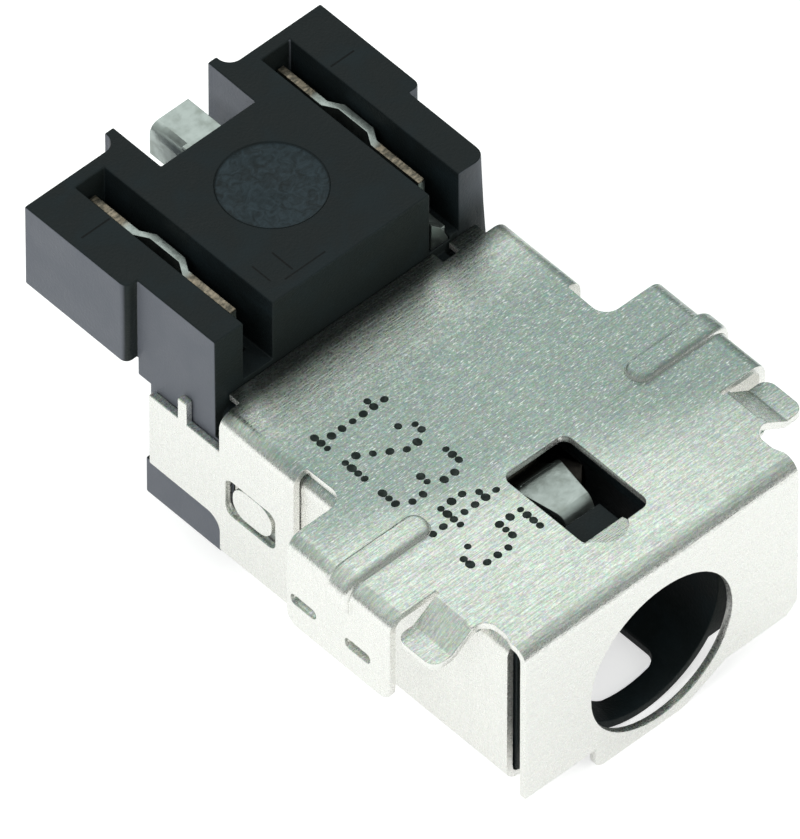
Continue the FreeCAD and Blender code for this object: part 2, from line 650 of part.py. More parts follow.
def build_inner_shell():
    """The second shell, an upright channel whose top edges are folded in and whose bosses latch."""
    body = new_body("inner_shell")
    inner_face = inner_half_width - sheet_thickness
    floor_face = inner_bottom + sheet_thickness
    flange_face = inner_top - sheet_thickness
    right_half = [
        (inner_half_width, inner_bottom, bend_radius),
        (inner_half_width, inner_top, bend_radius),
        (flange_tip, inner_top),
        (flange_tip, flange_face),
        (inner_face, flange_face, inner_bend_radius),
        (inner_face, floor_face, inner_bend_radius),
    ]
    left_half = mirrored(right_half)
    pad(body, "channel", "XZ", inner_start, inner_end, draw_outline, right_half + left_half)
    half_cut = barrel_outer_radius + fit_gap
    cut_end = barrel_end + channel_gap
    pocket(body, "barrel_cut", "XY", inner_bottom - cut_margin, floor_face + fit_gap, draw_outline, [
        (-half_cut, inner_start - cut_margin),
        (half_cut, inner_start - cut_margin),
        (half_cut, cut_end, barrel_cut_corner),
        (-half_cut, cut_end, barrel_cut_corner),
    ])
    level = shell_top - latch_drop
    half_length = latch_length / 2 - boss_end_gap
    half_height = latch_height / 2 - boss_gap
    boss = rectangle(latch_middle - half_length, latch_middle + half_length,
                     level - half_height, level + half_height, half_height * BOSS_END_SHARE)
    hollow = rectangle(latch_middle - half_length + sheet_thickness,
                       latch_middle + half_length - sheet_thickness,
                       level - half_height + sheet_thickness, level + half_height - sheet_thickness)
    for side in ("right", "left"):
        inside, outside = side_span(side, inner_face, inner_half_width + boss_rise)
        pad(body, f"{side}_boss", "YZ", inside, outside, draw_outline, boss)
    for side in ("right", "left"):
        inside, outside = side_span(side, inner_face, inner_face + boss_rise)
        pocket(body, f"{side}_boss_hollow", "YZ", inside, outside, draw_outline, hollow)
    return body


def add_housing_body(body):
    """The part of the housing inside the shells, its barrel, and the lower body with its feet."""
    half_width = inner_half_width - sheet_thickness - fit_gap
    floor = inner_bottom + sheet_thickness + fit_gap
    side_top = inner_top - sheet_thickness - fit_gap
    middle_top = shell_under - fit_gap
    step = flange_tip - fit_gap
    right_half = [
        (half_width, floor, inner_bend_radius),
        (half_width, side_top, inner_bend_radius),
        (step, side_top),
        (step, middle_top),
    ]
    pad(body, "core", "XZ", housing_start, block_start, draw_outline,
        right_half + mirrored(right_half))
    pad(body, "barrel", "XZ", housing_start, barrel_end, draw_circle, (zero, zero), barrel_outer_radius)
    pad(body, "lower_body", "XZ", inner_end + fit_gap, foot_end, draw_outline,
        rectangle(-block_half_width, block_half_width, foot_bottom, block_bottom))
    foot_front = plate_length + fit_gap
    foot_top = arm_bottom - fit_gap
    foot = [
        (foot_front, foot_bottom),
        (foot_end, foot_bottom),
        (foot_end, foot_top),
        (foot_front, foot_top, foot_corner),
    ]
    for side in ("right", "left"):
        inside, outside = side_span(side, block_half_width - sheet_thickness, foot_half_width)
        pad(body, f"{side}_foot", "YZ", inside, outside, draw_outline, foot)


def add_rear_block(body):
    """The tall rear block with its ears, blade grooves, recess and thin ribs."""
    pad(body, "block_front", "XZ", block_start, block_step, draw_outline,
        rectangle(-block_half_width, block_half_width, block_bottom, block_top))
    pad(body, "ears", "XZ", block_step, ear_end, draw_outline,
        rectangle(-ear_half_width, ear_half_width, ear_bottom, block_top))
    round_edges(body, "ear_corners", ear_corner, x=ear_half_width, y=block_step)
    rib_outer = recess_half_width + rib_width
    rib = rectangle(recess_half_width, rib_outer, ear_end - rib_width, rib_end)
    for side, outline in both_sides(rib):
        pad(body, f"{side}_rib", "XY", ear_bottom, block_top, draw_outline, outline)
    round_edges(body, "rib_roots", rib_root, x=rib_outer, y=ear_end)
    pocket(body, "rear_recess", "XY", ear_bottom, block_top + cut_margin, draw_outline,
           rectangle(-recess_half_width, recess_half_width, centre_end, ear_end + cut_margin))
    groove = rectangle(groove_inner, groove_outer, block_start - cut_margin, groove_end)
    for side, outline in both_sides(groove):
        pocket(body, f"{side}_groove", "XY", groove_floor, block_top + cut_margin,
               draw_outline, outline)
    blade_side = blade_place + contact_thickness / 2 + fit_gap
    pocket(body, "shoulder_seat", "XY", shell_top + shoulder_lift - fit_gap, groove_floor + fit_gap,
           draw_outline, rectangle(groove_inner, blade_side, block_start - cut_margin,
                                   shoulder_front + contact_thickness + fit_gap))
    pocket(body, "ejector_mark", "XY", block_top - mark_depth, block_top + cut_margin, draw_circle,
           (zero, mark_place), mark_radius)


def cut_plug_bore(body):
    """The bore for the plug, the opening in its floor and the seat of the pin."""
    pocket(body, "bore", "XZ", housing_start - cut_margin, bore_depth, draw_circle,
           (zero, zero), bore_radius)
    pocket(body, "floor_opening", "XY", -barrel_outer_radius - cut_margin, -bore_radius / 2,
           draw_outline, rectangle(-floor_open_half, floor_open_half, floor_open_start,
                                   floor_open_end, floor_open_corner))
    pocket(body, "pin_hole", "XZ", bore_depth - fit_gap, bore_depth + end_wall, draw_circle,
           (zero, zero), pin_shank_radius + fit_gap)


def cut_contact_channels(body):
    """The channels that hold the contacts inside the housing."""
    half_contact = contact_thickness / 2
    near = blade_place - half_contact - channel_gap
    far = blade_place + half_contact + channel_gap
    leg_end = blade_start + leg_width + channel_gap
    chamber_start = bore_depth + end_wall
    leg = rectangle(near, far, blade_start - channel_gap, leg_end)
    for side, outline in both_sides(leg):
        pocket(body, f"{side}_leg_channel", "XY", -leg_bottom - channel_gap,
               groove_floor + channel_gap, draw_outline, outline)
    plate_half = foot_plate_half + channel_gap
    pocket(body, "foot_plate_chamber", "XZ", chamber_start,
           foot_plate_back + pin_head_length + channel_gap, draw_outline,
           rectangle(-far, foot_plate_reach + channel_gap, -plate_half, plate_half))
    pocket(body, "foot_link_channel", "XY", -plate_half, plate_half, draw_outline,
           rectangle(-far, -near, chamber_start, blade_start))
    spring_half = side_spring_half + channel_gap
    pocket(body, "side_spring_channel", "XY", -spring_half, spring_half, draw_outline,
           rectangle(bore_radius / 2, far, side_spring_tip - channel_gap, blade_start))
    half_top = top_spring_half + channel_gap
    roof = shell_under
    recess_half = window_half_width + roof_recess_margin
    pocket(body, "roof_recess", "XY", roof - fit_gap - roof_recess_depth, roof, draw_outline,
           rectangle(-recess_half, recess_half, window_start - roof_recess_margin,
                     window_end + roof_recess_margin))
    pocket(body, "top_spring_channel", "YZ", -half_top, half_top, draw_outline,
           rectangle(top_spring_tip - channel_gap, block_start, top_spring_lower - channel_gap, roof))
    pocket(body, "tongue_opening", "YZ", -tongue_half - channel_gap, recess_half, draw_outline,
           rectangle(top_spring_tip - channel_gap, top_spring_bend + channel_gap, bore_radius / 2, roof))
    pocket(body, "side_opening", "YZ", tongue_tip_half, side_opening_half, draw_outline,
           rectangle(side_opening_start, top_spring_bend + channel_gap, bore_radius / 2, roof))
    riser_end = riser_place + top_spring_thickness + fit_gap
    riser_front = riser_place - fit_gap
    half_tail = top_spring_half + fit_gap
    pocket(body, "riser_channel", "YZ", -half_tail, half_tail, draw_outline, [
        (riser_front, tail_upper + fit_gap),
        (riser_front, top_spring_upper + fit_gap, inner_bend_radius),
        (block_start - cut_margin, top_spring_upper + fit_gap),
        (block_start - cut_margin, top_spring_lower - fit_gap),
        (riser_end, top_spring_lower - fit_gap),
        (riser_end, tail_lower - fit_gap, inner_bend_radius),
        (centre_end + cut_margin, tail_lower - fit_gap),
        (centre_end + cut_margin, tail_upper + fit_gap),
    ])


def build_housing():
    """The black moulded housing, one piece from the barrel to the ears."""
    body = new_body("housing")
    add_housing_body(body)
    add_rear_block(body)
    cut_plug_bore(body)
    cut_contact_channels(body)
    return body


def build_centre_pin():
    """The turned pin, with a shank in the end wall and a stud riveted over the blade foot."""
    body = new_body("centre_pin")
    sketch = new_sketch(body, "pin_profile", "XY", zero)
    draw_outline(sketch, [
        (zero, pin_tip),
        (pin_radius, pin_tip, pin_nose),
        (pin_radius, bore_depth),
        (pin_shank_radius, bore_depth),
        (pin_shank_radius, foot_plate_front),
        (pin_stud_radius, foot_plate_front),
        (pin_stud_radius, foot_plate_back),
        (pin_head_radius, foot_plate_back),
        (pin_head_radius, foot_plate_back + pin_head_length),
        (zero, foot_plate_back + pin_head_length),
    ])
    turned = body.newObject("PartDesign::Revolution", "turned_pin")
    turned.Profile = sketch
    turned.ReferenceAxis = (sketch, ["V_Axis"])
    turned.Angle = 360
    return body


def add_blade(body, middle):
    """The upright blade with its sideways jog, and the leg below it."""
    half = contact_thickness / 2
    near = middle - half
    far = middle + half
    pad(body, "blade", "XY", blade_bottom, blade_top, draw_outline, [
        (far, blade_start),
        (far, jog_start),
        (far + blade_jog, jog_start + jog_slope),
        (far + blade_jog, jog_end - jog_slope),
        (far, jog_end),
        (far, blade_end),
        (near, blade_end),
        (near, jog_end),
        (near + blade_jog, jog_end - jog_slope),
        (near + blade_jog, jog_start + jog_slope),
        (near, jog_start),
        (near, blade_start),
    ])
    pad(body, "leg", "XY", -leg_bottom, blade_bottom, draw_outline,
        rectangle(near, far, blade_start, blade_start + leg_width))


def add_shoulder(body, near, far):
    """The small sloping shoulder of the right blade at the mouth of its groove."""
    floor = shell_top + shoulder_lift
    link_floor = groove_floor + link_lift
    inner = near - shoulder_reach
    back = shoulder_front + contact_thickness
    pad(body, "shoulder_link", "XY", link_floor, link_floor + link_height, draw_outline,
        rectangle(near, far, shoulder_front + contact_thickness / 2, blade_start + contact_thickness))
    pad(body, "shoulder", "XZ", shoulder_front, back, draw_outline, [
        (inner, floor),
        (far, floor),
        (far, floor + shoulder_low),
        (near, floor + shoulder_knee),
        (inner, floor + shoulder_high),
    ])


def build_pin_blade():
    """The left blade contact, whose foot is riveted on the centre pin."""
    body = new_body("pin_blade_contact")
    middle = -blade_place
    near = middle - contact_thickness / 2
    far = middle + contact_thickness / 2
    add_blade(body, middle)
    pad(body, "foot", "XY", -foot_plate_half, foot_plate_half, draw_outline, [
        (near, blade_start + contact_thickness),
        (near, foot_plate_front, bend_radius),
        (foot_plate_reach, foot_plate_front),
        (foot_plate_reach, foot_plate_back),
        (far, foot_plate_back, inner_bend_radius),
        (far, blade_start + contact_thickness),
    ])
    pocket(body, "rivet_hole", "XZ", foot_plate_front - fit_gap, foot_plate_back + fit_gap,
           draw_circle, (zero, zero), pin_stud_radius + pin_seat_gap)
    return body


def build_barrel_blade():
    """The right blade contact, whose side spring touches the plug."""
    body = new_body("barrel_blade_contact")
    near = blade_place - contact_thickness / 2
    far = blade_place + contact_thickness / 2
    crest_back = spring_touch_radius + contact_thickness
    add_blade(body, blade_place)
    add_shoulder(body, near, far)
    pad(body, "side_spring", "XY", -side_spring_half, side_spring_half, draw_outline, [
        (near, blade_start + contact_thickness),
        (near, side_spring_bend),
        (spring_touch_radius, side_spring_crest),
        (spring_touch_radius + side_spring_flare, side_spring_tip),
        (crest_back + side_spring_flare, side_spring_tip),
        (crest_back, side_spring_crest),
        (far, side_spring_bend),
        (far, blade_start + contact_thickness),
    ])
    return body


def build_top_spring():
    """The top spring contact, seen in the window, which ends as the folded rear tail."""
    body = new_body("top_spring_contact")
    crest_low = spring_touch_radius
    crest_high = crest_low + top_spring_thickness
    tongue_high = crest_high + tongue_rise
    riser_back = riser_place + top_spring_thickness
    strip_end = tail_flange_start + top_spring_thickness
    pad(body, "strip", "YZ", -top_spring_half, top_spring_half, draw_outline, [
        (tongue_shoulder, tongue_high),
        (top_spring_crest, crest_high, crest_round),
        (top_spring_bend, top_spring_upper),
        (riser_place, top_spring_upper, inner_bend_radius),
        (riser_place, tail_upper, bend_radius),
        (strip_end, tail_upper),
        (strip_end, tail_lower),
        (riser_back, tail_lower, inner_bend_radius),
        (riser_back, top_spring_lower, bend_radius),
        (top_spring_bend, top_spring_lower),
        (top_spring_crest, crest_low, crest_round + top_spring_thickness),
        (tongue_shoulder, tongue_high - top_spring_thickness),
    ])
    root = tongue_shoulder + top_spring_thickness
    pad(body, "tongue", "YZ", -tongue_half, tongue_half, draw_outline, [
        (top_spring_tip, tongue_high - top_spring_curl),
        (tongue_end, tongue_high, crest_round + top_spring_thickness),
        (tongue_shoulder, tongue_high, crest_round + top_spring_thickness),
        (root, tongue_high - top_spring_thickness),
        (tongue_shoulder - crest_round, tongue_high - top_spring_thickness),
        (tongue_end + crest_round, tongue_high - top_spring_thickness, crest_round),
        (top_spring_tip + crest_round, tongue_high - top_spring_curl - crest_round),
    ])
    taper = [
        (tongue_half + cut_margin, tongue_shoulder),
        (tongue_half, tongue_shoulder),
        (tongue_tip_half, top_spring_tip),
        (tongue_tip_half, top_spring_tip - cut_margin),
        (tongue_half + cut_margin, top_spring_tip - cut_margin),
    ]
    for side, outline in both_sides(taper):
        pocket(body, f"{side}_taper", "XY", crest_low, top_spring_upper, draw_outline, outline)
    fold_bottom = tail_upper - tail_flange_height
    fold_inner = tail_half_width - top_spring_thickness
    pad(body, "tail", "XZ", tail_flange_start, tail_end, draw_outline, [
        (-tail_half_width, tail_upper, tail_bend),
        (-tail_half_width, fold_bottom),
        (-fold_inner, fold_bottom),
        (-fold_inner, tail_lower, tail_bend - top_spring_thickness),
        (tail_half_width, tail_lower),
        (tail_half_width, tail_upper),
    ])
    return body


bodies = [
    build_outer_shell(),
    build_inner_shell(),
    build_housing(),
    build_centre_pin(),
    build_pin_blade(),
    build_barrel_blade(),
    build_top_spring(),
]
document.recompute()

for item in document.Objects:
    if "Invalid" in item.State or "Error" in item.State:
        raise RuntimeError(f"{item.Name} did not build")
for body in bodies:
    if body.Shape.isNull() or not body.Shape.isValid():
        raise RuntimeError(f"{body.Label} has no valid shape")
    print(body.Label, len(body.Shape.Solids), "solid", round(body.Shape.Volume, 2), "cubic millimetres")
    body.Shape.exportStep(f"parts/{body.Label}.step")
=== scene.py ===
"""A shielded dc power jack, dressed for a studio picture on its CAD frame."""
import logging
import math
from dataclasses import dataclass, field
from enum import Enum
from typing import Callable, Optional, Sequence

import bpy
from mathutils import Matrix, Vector


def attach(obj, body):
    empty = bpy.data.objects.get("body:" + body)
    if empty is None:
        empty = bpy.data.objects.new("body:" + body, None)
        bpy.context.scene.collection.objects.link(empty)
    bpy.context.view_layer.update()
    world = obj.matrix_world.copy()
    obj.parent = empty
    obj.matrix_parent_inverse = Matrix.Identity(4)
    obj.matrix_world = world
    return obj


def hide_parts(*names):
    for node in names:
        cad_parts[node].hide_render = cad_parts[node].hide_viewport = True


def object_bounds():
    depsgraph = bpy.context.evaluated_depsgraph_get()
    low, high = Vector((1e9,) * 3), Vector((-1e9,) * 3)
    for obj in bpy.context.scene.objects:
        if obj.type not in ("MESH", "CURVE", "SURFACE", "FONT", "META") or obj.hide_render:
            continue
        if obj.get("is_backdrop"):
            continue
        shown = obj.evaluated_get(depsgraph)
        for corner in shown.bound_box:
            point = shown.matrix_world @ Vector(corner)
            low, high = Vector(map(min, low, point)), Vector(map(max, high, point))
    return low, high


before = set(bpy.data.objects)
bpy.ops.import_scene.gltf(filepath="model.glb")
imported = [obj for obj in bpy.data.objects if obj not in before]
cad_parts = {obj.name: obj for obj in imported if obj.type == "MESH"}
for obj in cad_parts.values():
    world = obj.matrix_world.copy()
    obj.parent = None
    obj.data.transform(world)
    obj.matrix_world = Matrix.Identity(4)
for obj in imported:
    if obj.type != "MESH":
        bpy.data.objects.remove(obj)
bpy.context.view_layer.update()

MM = 0.001
LOG = logging.getLogger("dc_jack")

# A linear colour, a place or a scale along three axes, and a start with an end.
Colour = tuple[float, float, float]
Point = tuple[float, float, float]
Span = tuple[float, float]
# A centre and a reach in millimetres, with the share of the rounding inside it.
Ball = tuple[Point, float, float]
# The middle of an edge and its radius, in millimetres.
Corner = tuple[Point, float]
# Depth in millimetres and strength.
Relief = tuple[float, float]
# Most of a noise lies between these two values.
NOISE_REACH: Span = (0.3, 0.7)


class Slot(Enum):
    """Material slots that the record names."""

    SHELL = "plated_shell"
    MOULDING = "black_moulding"
    CONTACT = "plated_contact"


class Blend(Enum):
    """Ways in which two colours are mixed."""

    MIX = "MIX"
    MULTIPLY = "MULTIPLY"
    ADD = "ADD"


class Painter:
    """Builds one node material step by step, on object coordinates."""

    def __init__(self, name: str) -> None:
        """Start an empty material.

        Args:
            name: The material's name.
        """
        self.material = bpy.data.materials.new(name)
        self.material.use_nodes = True
        self.tree = self.material.node_tree
        self.tree.nodes.clear()
        self.output = self.tree.nodes.new("ShaderNodeOutputMaterial")
        self.coordinates = self.tree.nodes.new("ShaderNodeTexCoord")
        self.shader = self.tree.nodes.new("ShaderNodeBsdfPrincipled")
        self.join(self.shader.outputs["BSDF"], self.output.inputs["Surface"])

    def join(self, source: bpy.types.NodeSocket, target: bpy.types.NodeSocket) -> None:
        """Link two sockets."""
        self.tree.links.new(source, target)

    def feed(self, target: bpy.types.NodeSocket, value: object) -> None:
        """Give a socket a value, or link it if the value is itself a socket.

        Args:
            target: The input to fill.
            value: A number, a colour or an output socket.
        """
        if isinstance(value, bpy.types.NodeSocket):
            self.join(value, target)
        elif isinstance(value, tuple) and len(target.default_value) == 4:
            target.default_value = (*value, 1.0)
        else:
            target.default_value = value

    def scaled(self, per_mm: Point) -> bpy.types.NodeSocket:
        """The place on the object, stretched along each axis.

        Args:
            per_mm: Units per millimetre along X, Y and Z.

        Returns:
            The stretched place.
        """
        mapping = self.tree.nodes.new("ShaderNodeMapping")
        mapping.inputs["Scale"].default_value = tuple(part / MM for part in per_mm)
        self.join(self.coordinates.outputs["Object"], mapping.inputs["Vector"])
        return mapping.outputs["Vector"]

    def noise(self, per_mm: Point, detail: float = 2.0, warp: float = 0.0) -> bpy.types.NodeSocket:
        """A noise whose grain may differ along each axis.

        Args:
            per_mm: Grains per millimetre along X, Y and Z.
            detail: How many finer layers are added.
            warp: How much the noise is warped by itself.

        Returns:
            The noise, around one half.
        """
        grain = self.tree.nodes.new("ShaderNodeTexNoise")
        grain.inputs["Scale"].default_value = 1.0
        grain.inputs["Detail"].default_value = detail
        grain.inputs["Distortion"].default_value = warp
        self.join(self.scaled(per_mm), grain.inputs["Vector"])
        return grain.outputs["Fac"]

    def cells(self, per_mm: Point) -> bpy.types.NodeSocket:
        """The random colour of small crystal cells.

        Args:
            per_mm: Cells per millimetre along X, Y and Z.

        Returns:
            A random value for each cell, as a colour.
        """
        cell = self.tree.nodes.new("ShaderNodeTexVoronoi")
        cell.inputs["Scale"].default_value = 1.0
        self.join(self.scaled(per_mm), cell.inputs["Vector"])
        return cell.outputs["Color"]

    def axis(self, kind: str, letter: str) -> bpy.types.NodeSocket:
        """One coordinate of the place or of the normal.

        Args:
            kind: "Object" or "Normal".
            letter: X, Y or Z.

        Returns:
            The coordinate, in metres for a place.
        """
        split = self.tree.nodes.new("ShaderNodeSeparateXYZ")
        self.join(self.coordinates.outputs[kind], split.inputs["Vector"])
        return split.outputs[letter]

    def calc(self, operation: str, *values: object) -> bpy.types.NodeSocket:
        """A math node.

        Args:
            operation: Its operation.
            values: Its inputs in order.

        Returns:
            Its result.
        """
        node = self.tree.nodes.new("ShaderNodeMath")
        node.operation = operation
        for number, value in enumerate(values):
            self.feed(node.inputs[number], value)
        return node.outputs["Value"]

    def span(self, value: bpy.types.NodeSocket, low: float, high: float, to_low: float = 0.0,
             to_high: float = 1.0) -> bpy.types.NodeSocket:
        """Map a range onto another one with a smooth start and end.

        Args:
            value: The value to map.
            low: Where the range starts.
            high: Where it ends.
            to_low: The result at its start.
            to_high: The result at its end.

        Returns:
            The mapped value.
        """
        node = self.tree.nodes.new("ShaderNodeMapRange")
        node.interpolation_type = "SMOOTHSTEP"
        self.feed(node.inputs["Value"], value)
        self.feed(node.inputs["From Min"], low)
        self.feed(node.inputs["From Max"], high)
        self.feed(node.inputs["To Min"], to_low)
        self.feed(node.inputs["To Max"], to_high)
        return node.outputs["Result"]

    def product(self, first: object, *others: object) -> bpy.types.NodeSocket:
        """Multiply shares with each other.

        Args:
            first: A number or a socket.
            others: What it is multiplied by, one after the other.

        Returns:
            Their product.
        """
        total = first
        for other in others:
            total = self.calc("MULTIPLY", total, other)
        return total

    def ramp(self, letter: str, reach_mm: Span, shares: Span = (0.0, 1.0)) -> bpy.types.NodeSocket:
        """A share that changes smoothly along one axis of the object.

        Args:
            letter: X, Y or Z.
            reach_mm: Where the change starts and where it ends.
            shares: The shares at its start and at its end.

        Returns:
            The share.
        """
        start, end = reach_mm
        return self.span(self.axis("Object", letter), start * MM, end * MM, *shares)

    def mix(self, share: object, first: object, second: object,
            blend: Blend = Blend.MIX) -> bpy.types.NodeSocket:
        """Mix two colours.

        Args:
            share: How much of the second is taken.
            first: The first colour.
            second: The second colour.
            blend: How they are mixed.

        Returns:
            The mixed colour.
        """
        node = self.tree.nodes.new("ShaderNodeMix")
        node.data_type = "RGBA"
        node.blend_type = blend.value
        self.feed(node.inputs[0], share)
        self.feed(node.inputs[6], first)
        self.feed(node.inputs[7], second)
        return node.outputs[2]

    def bump(self, height: bpy.types.NodeSocket, relief: Relief,
             under: Optional[bpy.types.NodeSocket] = None) -> bpy.types.NodeSocket:
        """Turn a height into a normal.

        Args:
            height: The height, from zero to one.
            relief: What a height of one stands for, in millimetres, and how strongly it shows.
            under: A normal from a bump below this one.

        Returns:
            The bumped normal.
        """
        depth_mm, strength = relief
        node = self.tree.nodes.new("ShaderNodeBump")
        node.inputs["Strength"].default_value = strength
        node.inputs["Distance"].default_value = depth_mm * MM
        self.join(height, node.inputs["Height"])
        if under is not None:
            self.join(under, node.inputs["Normal"])
        return node.outputs["Normal"]

    def finish(self, **sockets: object) -> bpy.types.Material:
        """Fill the shader's inputs, with spaces in their names written as underscores.

        Args:
            sockets: A value or an output socket for each input.

        Returns:
            The finished material.
        """
        for name, value in sockets.items():
            self.feed(self.shader.inputs[name.replace("_", " ")], value)
        return self.material


@dataclass(frozen=True)
class PlatedSteel:
    """Tin plated steel sheet, finely brushed along its own grain."""

    name: str = "plated_steel"
    pale: Colour = (0.985, 0.975, 0.94)
    # A painted tint of the light on faces that point up.
    top_light_tint: Colour = (0.94, 1.0, 0.95)
    # The tone of the painted shade on the top plate.
    shaded_tone: Colour = (0.455, 0.51, 0.49)
    shadow: Colour = (0.02, 0.026, 0.026)
    dark: Colour = (0.22, 0.28, 0.26)
    glint: Colour = (0.97, 0.99, 0.97)
    streak_mm: tuple[float, float] = (2.2, 0.07)
    scratch_mm: tuple[float, float] = (0.4, 0.05)
    glint_mm: tuple[float, float] = (0.22, 0.045)
    crystal_mm: Point = (0.09, 0.06, 0.06)
    shade_mm: Span = (4.4, 8.3)
    shade_slant: float = 0.35
    shade_warp_mm: float = 2.0
    rear_mm: Span = (11.0, 14.5)
    rear_share: float = 0.1
    # Painted shade towards the right edge of the top plate.
    right_shade_mm: Span = (1.5, 5.5)
    right_shade_share: float = 0.2
    # Where the painted shadow of the block lies on the top plate.
    block_shadow_mm: Span = (13.5, 14.5)
    block_shadow_end_mm: Span = (15.3, 15.2)
    block_shadow_level_mm: Span = (4.1, 4.2)
    block_shadow_share: float = 0.9
    side_relief: float = 0.12
    streak_share: float = 0.24
    scratch_share: float = 0.26
    crystal_share: float = 0.22
    glint_share: float = 0.7
    streak_cut: Span = (0.38, 0.62)
    scratch_cut: Span = (0.38, 0.64)
    glint_cut: Span = (0.6, 0.72)
    cloud_per_mm: Point = (0.35, 0.5, 0.5)
    front_facing: Span = (0.75, 0.95)
    top_facing: Span = (0.4, 0.9)
    streak_relief: Relief = (0.0025, 0.6)
    scratch_relief: Relief = (0.0035, 0.7)
    sparkle_relief: Relief = (0.006, 0.7)
    roughness: Span = (0.22, 0.42)
    metallic: float = 0.85

    def grain(self, paint: Painter, size_mm: tuple[float, float],
              detail: float) -> bpy.types.NodeSocket:
        """Lines along the rolling direction, on the top, the folded sides and the front.

        Args:
            paint: The material under work.
            size_mm: Length and thickness of a line.
            detail: How many finer layers are added.

        Returns:
            The lines, around one half.
        """
        long_way, across = (1 / part for part in size_mm)
        folded = paint.noise((long_way, across, long_way), detail)
        front = paint.noise((long_way, long_way, across), detail)
        facing_front = paint.calc("ABSOLUTE", paint.axis("Normal", "Y"))
        return paint.mix(paint.span(facing_front, *self.front_facing), folded, front)

    def block_shadow(self, paint: Painter) -> bpy.types.NodeSocket:
        """A painted dark band on the top plate, close in front of the moulded block, that stands
        in for the block's shadow and dark reflection.

        Args:
            paint: The material under work.

        Returns:
            How much of it there is.
        """
        near = paint.ramp("Y", self.block_shadow_mm, (0.0, self.block_shadow_share))
        return paint.product(near, paint.product(paint.ramp("Y", self.block_shadow_end_mm),
                                                 paint.ramp("Z", self.block_shadow_level_mm)))

    def shade(self, paint: Painter) -> bpy.types.NodeSocket:
        """Painted shade over the middle of the top plate. It fades again towards the block, where
        the plate is painted lighter to offset the block's dark reflection.

        Args:
            paint: The material under work.

        Returns:
            How much painted shade the plate takes.
        """
        cloud = paint.noise(self.cloud_per_mm, detail=2.0, warp=0.4)
        slant = paint.calc("MULTIPLY_ADD", paint.axis("Object", "X"), self.shade_slant,
                           paint.axis("Object", "Y"))
        slant = paint.calc("MULTIPLY_ADD", cloud, self.shade_warp_mm * MM, slant)
        start, end = self.shade_mm
        return paint.product(paint.span(slant, start * MM, end * MM),
                             paint.ramp("Y", self.rear_mm, (1.0, self.rear_share)))

    def build(self) -> bpy.types.Material:
        """The node material."""
        paint = Painter(self.name)
        per_mm = tuple(1 / part for part in self.crystal_mm)
        streaks = paint.span(self.grain(paint, self.streak_mm, 1.5), *self.streak_cut)
        scratches = paint.span(self.grain(paint, self.scratch_mm, 1.0), *self.scratch_cut)
        glints = paint.span(self.grain(paint, self.glint_mm, 1.0), *self.glint_cut)
        sparkle = paint.noise(per_mm, detail=1.0)
        facing_up = paint.span(paint.axis("Normal", "Z"), *self.top_facing)
        relief = paint.calc("MULTIPLY_ADD", facing_up, 1.0 - self.side_relief, self.side_relief)
        right = paint.ramp("X", self.right_shade_mm, (0.0, self.right_shade_share))
        # Painted shade: only faces that point up take the shaded tone, so the folded sides stay
        # pale.
        tone = paint.mix(paint.product(facing_up, self.shade(paint)), self.pale, self.shaded_tone)
        # Painted light: faces that point up are tinted cooler and a little darker than the folded
        # sides.
        tone = paint.mix(facing_up, tone, self.top_light_tint, Blend.MULTIPLY)
        # Painted shade: the top plate darkens towards its right edge, on faces that point up.
        tone = paint.mix(paint.product(right, facing_up), tone, self.dark)
        tone = paint.mix(paint.product(streaks, self.streak_share, relief), tone, self.dark)
        tone = paint.mix(paint.product(scratches, self.scratch_share, relief), tone, self.dark)
        tone = paint.mix(paint.product(relief, self.crystal_share), tone, paint.cells(per_mm),
                         Blend.MULTIPLY)
        # Painted glints: bright highlight flecks along the grain, painted into the colour of faces
        # that point up.
        tone = paint.mix(paint.product(glints, self.glint_share, facing_up), tone, self.glint)
        # Painted shadow and dark reflection of the block on the top plate.
        tone = paint.mix(paint.product(self.block_shadow(paint), facing_up), tone, self.shadow)
        rough = paint.span(sparkle, *NOISE_REACH, *self.roughness)
        normal = paint.bump(streaks, self.streak_relief)
        normal = paint.bump(scratches, self.scratch_relief, normal)
        normal = paint.bump(sparkle, self.sparkle_relief, normal)
        return paint.finish(Base_Color=tone, Metallic=self.metallic, Roughness=rough,
                            Normal=normal)


